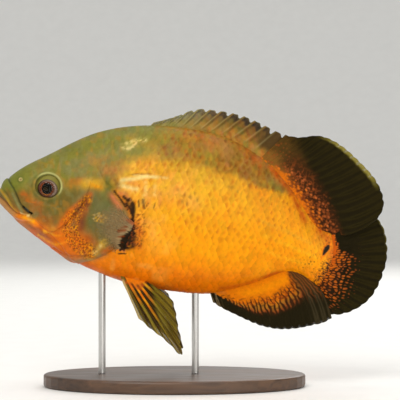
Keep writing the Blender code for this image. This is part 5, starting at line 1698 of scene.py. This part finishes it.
SENSOR_WIDTH = 36
PICTURE_WIDTH = 400
CAMERA_DISTANCE = 1.1
MM_PER_PIXEL = 0.718
FLOOR_FLAT = 2.4
FLOOR_EDGE = 4.2
FLOOR_DROP = 0.0002
WALL_HEIGHT = 3.2
PAPER_TONE = (0.90, 0.89, 0.86)
LIGHT_AIM = (0.0, 0.0, 0.13)
# Name, place, size, power and colour of each light
LIGHTS = [("key", (-0.5, -1.3, 1.5), (1.2, 0.9), 15, (1.0, 0.97, 0.92)),
          ("front", (0.7, -1.9, 0.55), (1.6, 1.2), 11, (1.0, 0.98, 0.95)),
          ("back", (0.5, 1.5, 1.2), (1.2, 0.9), 12, (1.0, 0.99, 0.97)),
          ("top", (0.0, 0.1, 1.9), (1.2, 1.2), 8, (1.0, 1.0, 1.0))]


def floor_mesh():
    """A disc whose edge sweeps up into a wall."""
    profile = [(FLOOR_FLAT * share, 0.0) for share in np.linspace(0.02, 1, 12)]
    for turn in np.linspace(0, 1, 24)[1:] * math.pi / 2:
        radius = FLOOR_FLAT + (FLOOR_EDGE - FLOOR_FLAT) * math.sin(turn)
        profile.append((radius, WALL_HEIGHT * (1 - math.cos(turn))))
    maker = bmesh.new()
    rings = []
    for radius, height in profile:
        rings.append([maker.verts.new((radius * math.cos(a), radius * math.sin(a), height - FLOOR_DROP))
                      for a in np.linspace(0, 2 * math.pi, 96, endpoint=False)])
    maker.faces.new(rings[0])
    for inner, outer in zip(rings[:-1], rings[1:]):
        for i in range(len(inner)):
            k = (i + 1) % len(inner)
            maker.faces.new((inner[i], outer[i], outer[k], inner[k]))
    mesh = bpy.data.meshes.new("studio_floor")
    bmesh.ops.recalc_face_normals(maker, faces=maker.faces)
    maker.to_mesh(mesh)
    maker.free()
    mesh.shade_smooth()
    return mesh


def make_floor():
    """A pale floor that sweeps up into a wall all round, so that no horizon shows."""
    mesh = floor_mesh()
    floor = bpy.data.objects.new("studio_floor", mesh)
    bpy.context.scene.collection.objects.link(floor)
    look, tree, surface, place = new_look("studio_paper")
    mottled = to_range(tree, noise_node(tree, place, 40, 4), 0.985, 1.01)
    feed(tree, surface, {
        "Base Color": scaled(tree, PAPER_TONE, mottled), "Roughness": 0.9, "Specular IOR Level": 0.1})
    mesh.materials.append(look)


def add_light(name, place, size, power, colour):
    """A soft rectangular light that looks at the fish."""
    light = bpy.data.lights.new(name, "AREA")
    light.shape = "RECTANGLE"
    light.size, light.size_y = size
    light.energy = power
    light.color = colour
    made = bpy.data.objects.new(name, light)
    made.location = place
    made.rotation_euler = (Vector(LIGHT_AIM) - Vector(place)).to_track_quat("-Z", "Y").to_euler()
    bpy.context.scene.collection.objects.link(made)


def make_studio():
    make_floor()
    for light in LIGHTS:
        add_light(*light)
    world = bpy.data.worlds.new("studio")
    world.use_nodes = True
    sky = world.node_tree.nodes["Background"]
    sky.inputs["Color"].default_value = (0.95, 0.97, 1.0, 1)
    sky.inputs["Strength"].default_value = 0.55
    bpy.context.scene.world = world
    settings = bpy.context.scene.view_settings
    settings.view_transform = "Standard"
    settings.exposure = 0.0


def make_camera():
    """The camera of the picture: level with the fish's middle and square to its left side."""
    camera = bpy.data.cameras.new("camera")
    camera.sensor_width = SENSOR_WIDTH
    camera.lens = SENSOR_WIDTH * CAMERA_DISTANCE * 1000 / (PICTURE_WIDTH * MM_PER_PIXEL)
    camera.clip_start = 0.01
    made = bpy.data.objects.new("camera", camera)
    made.location = (0.0043, -CAMERA_DISTANCE, 0.1335)
    made.rotation_euler = (math.radians(90), 0, 0)
    bpy.context.scene.collection.objects.link(made)
    bpy.context.scene.camera = made


make_camera()
make_studio()
dark_fin = (painted_look("fin_membrane", (0.42, 0.58), 0.14, (1300, 0.2), 0.0, 0.06, clear=True), "fin_dark")
clear_fin = (painted_look("fin_film", (0.38, 0.52), 0.12, (1300, 0.2), 0.02, 0.12, clear=True), "fin_clear")
iris_paint, cornea_film = eye_look(), cornea_look()
make_skin()
for side_word, side_sign in (("left", -1), ("right", 1)):
    make_scales(side_sign, side_word)
    make_eye(side_word, side_sign, iris_paint, cornea_film)
    make_pectoral_fin(side_word, side_sign, clear_fin)
    make_pelvic_fin(side_word, side_sign, clear_fin)
make_spiny_fin(clear_fin)
make_soft_fin(dark_fin)
make_anal_fin(dark_fin)
make_caudal_fin(dark_fin)
dress_stand()
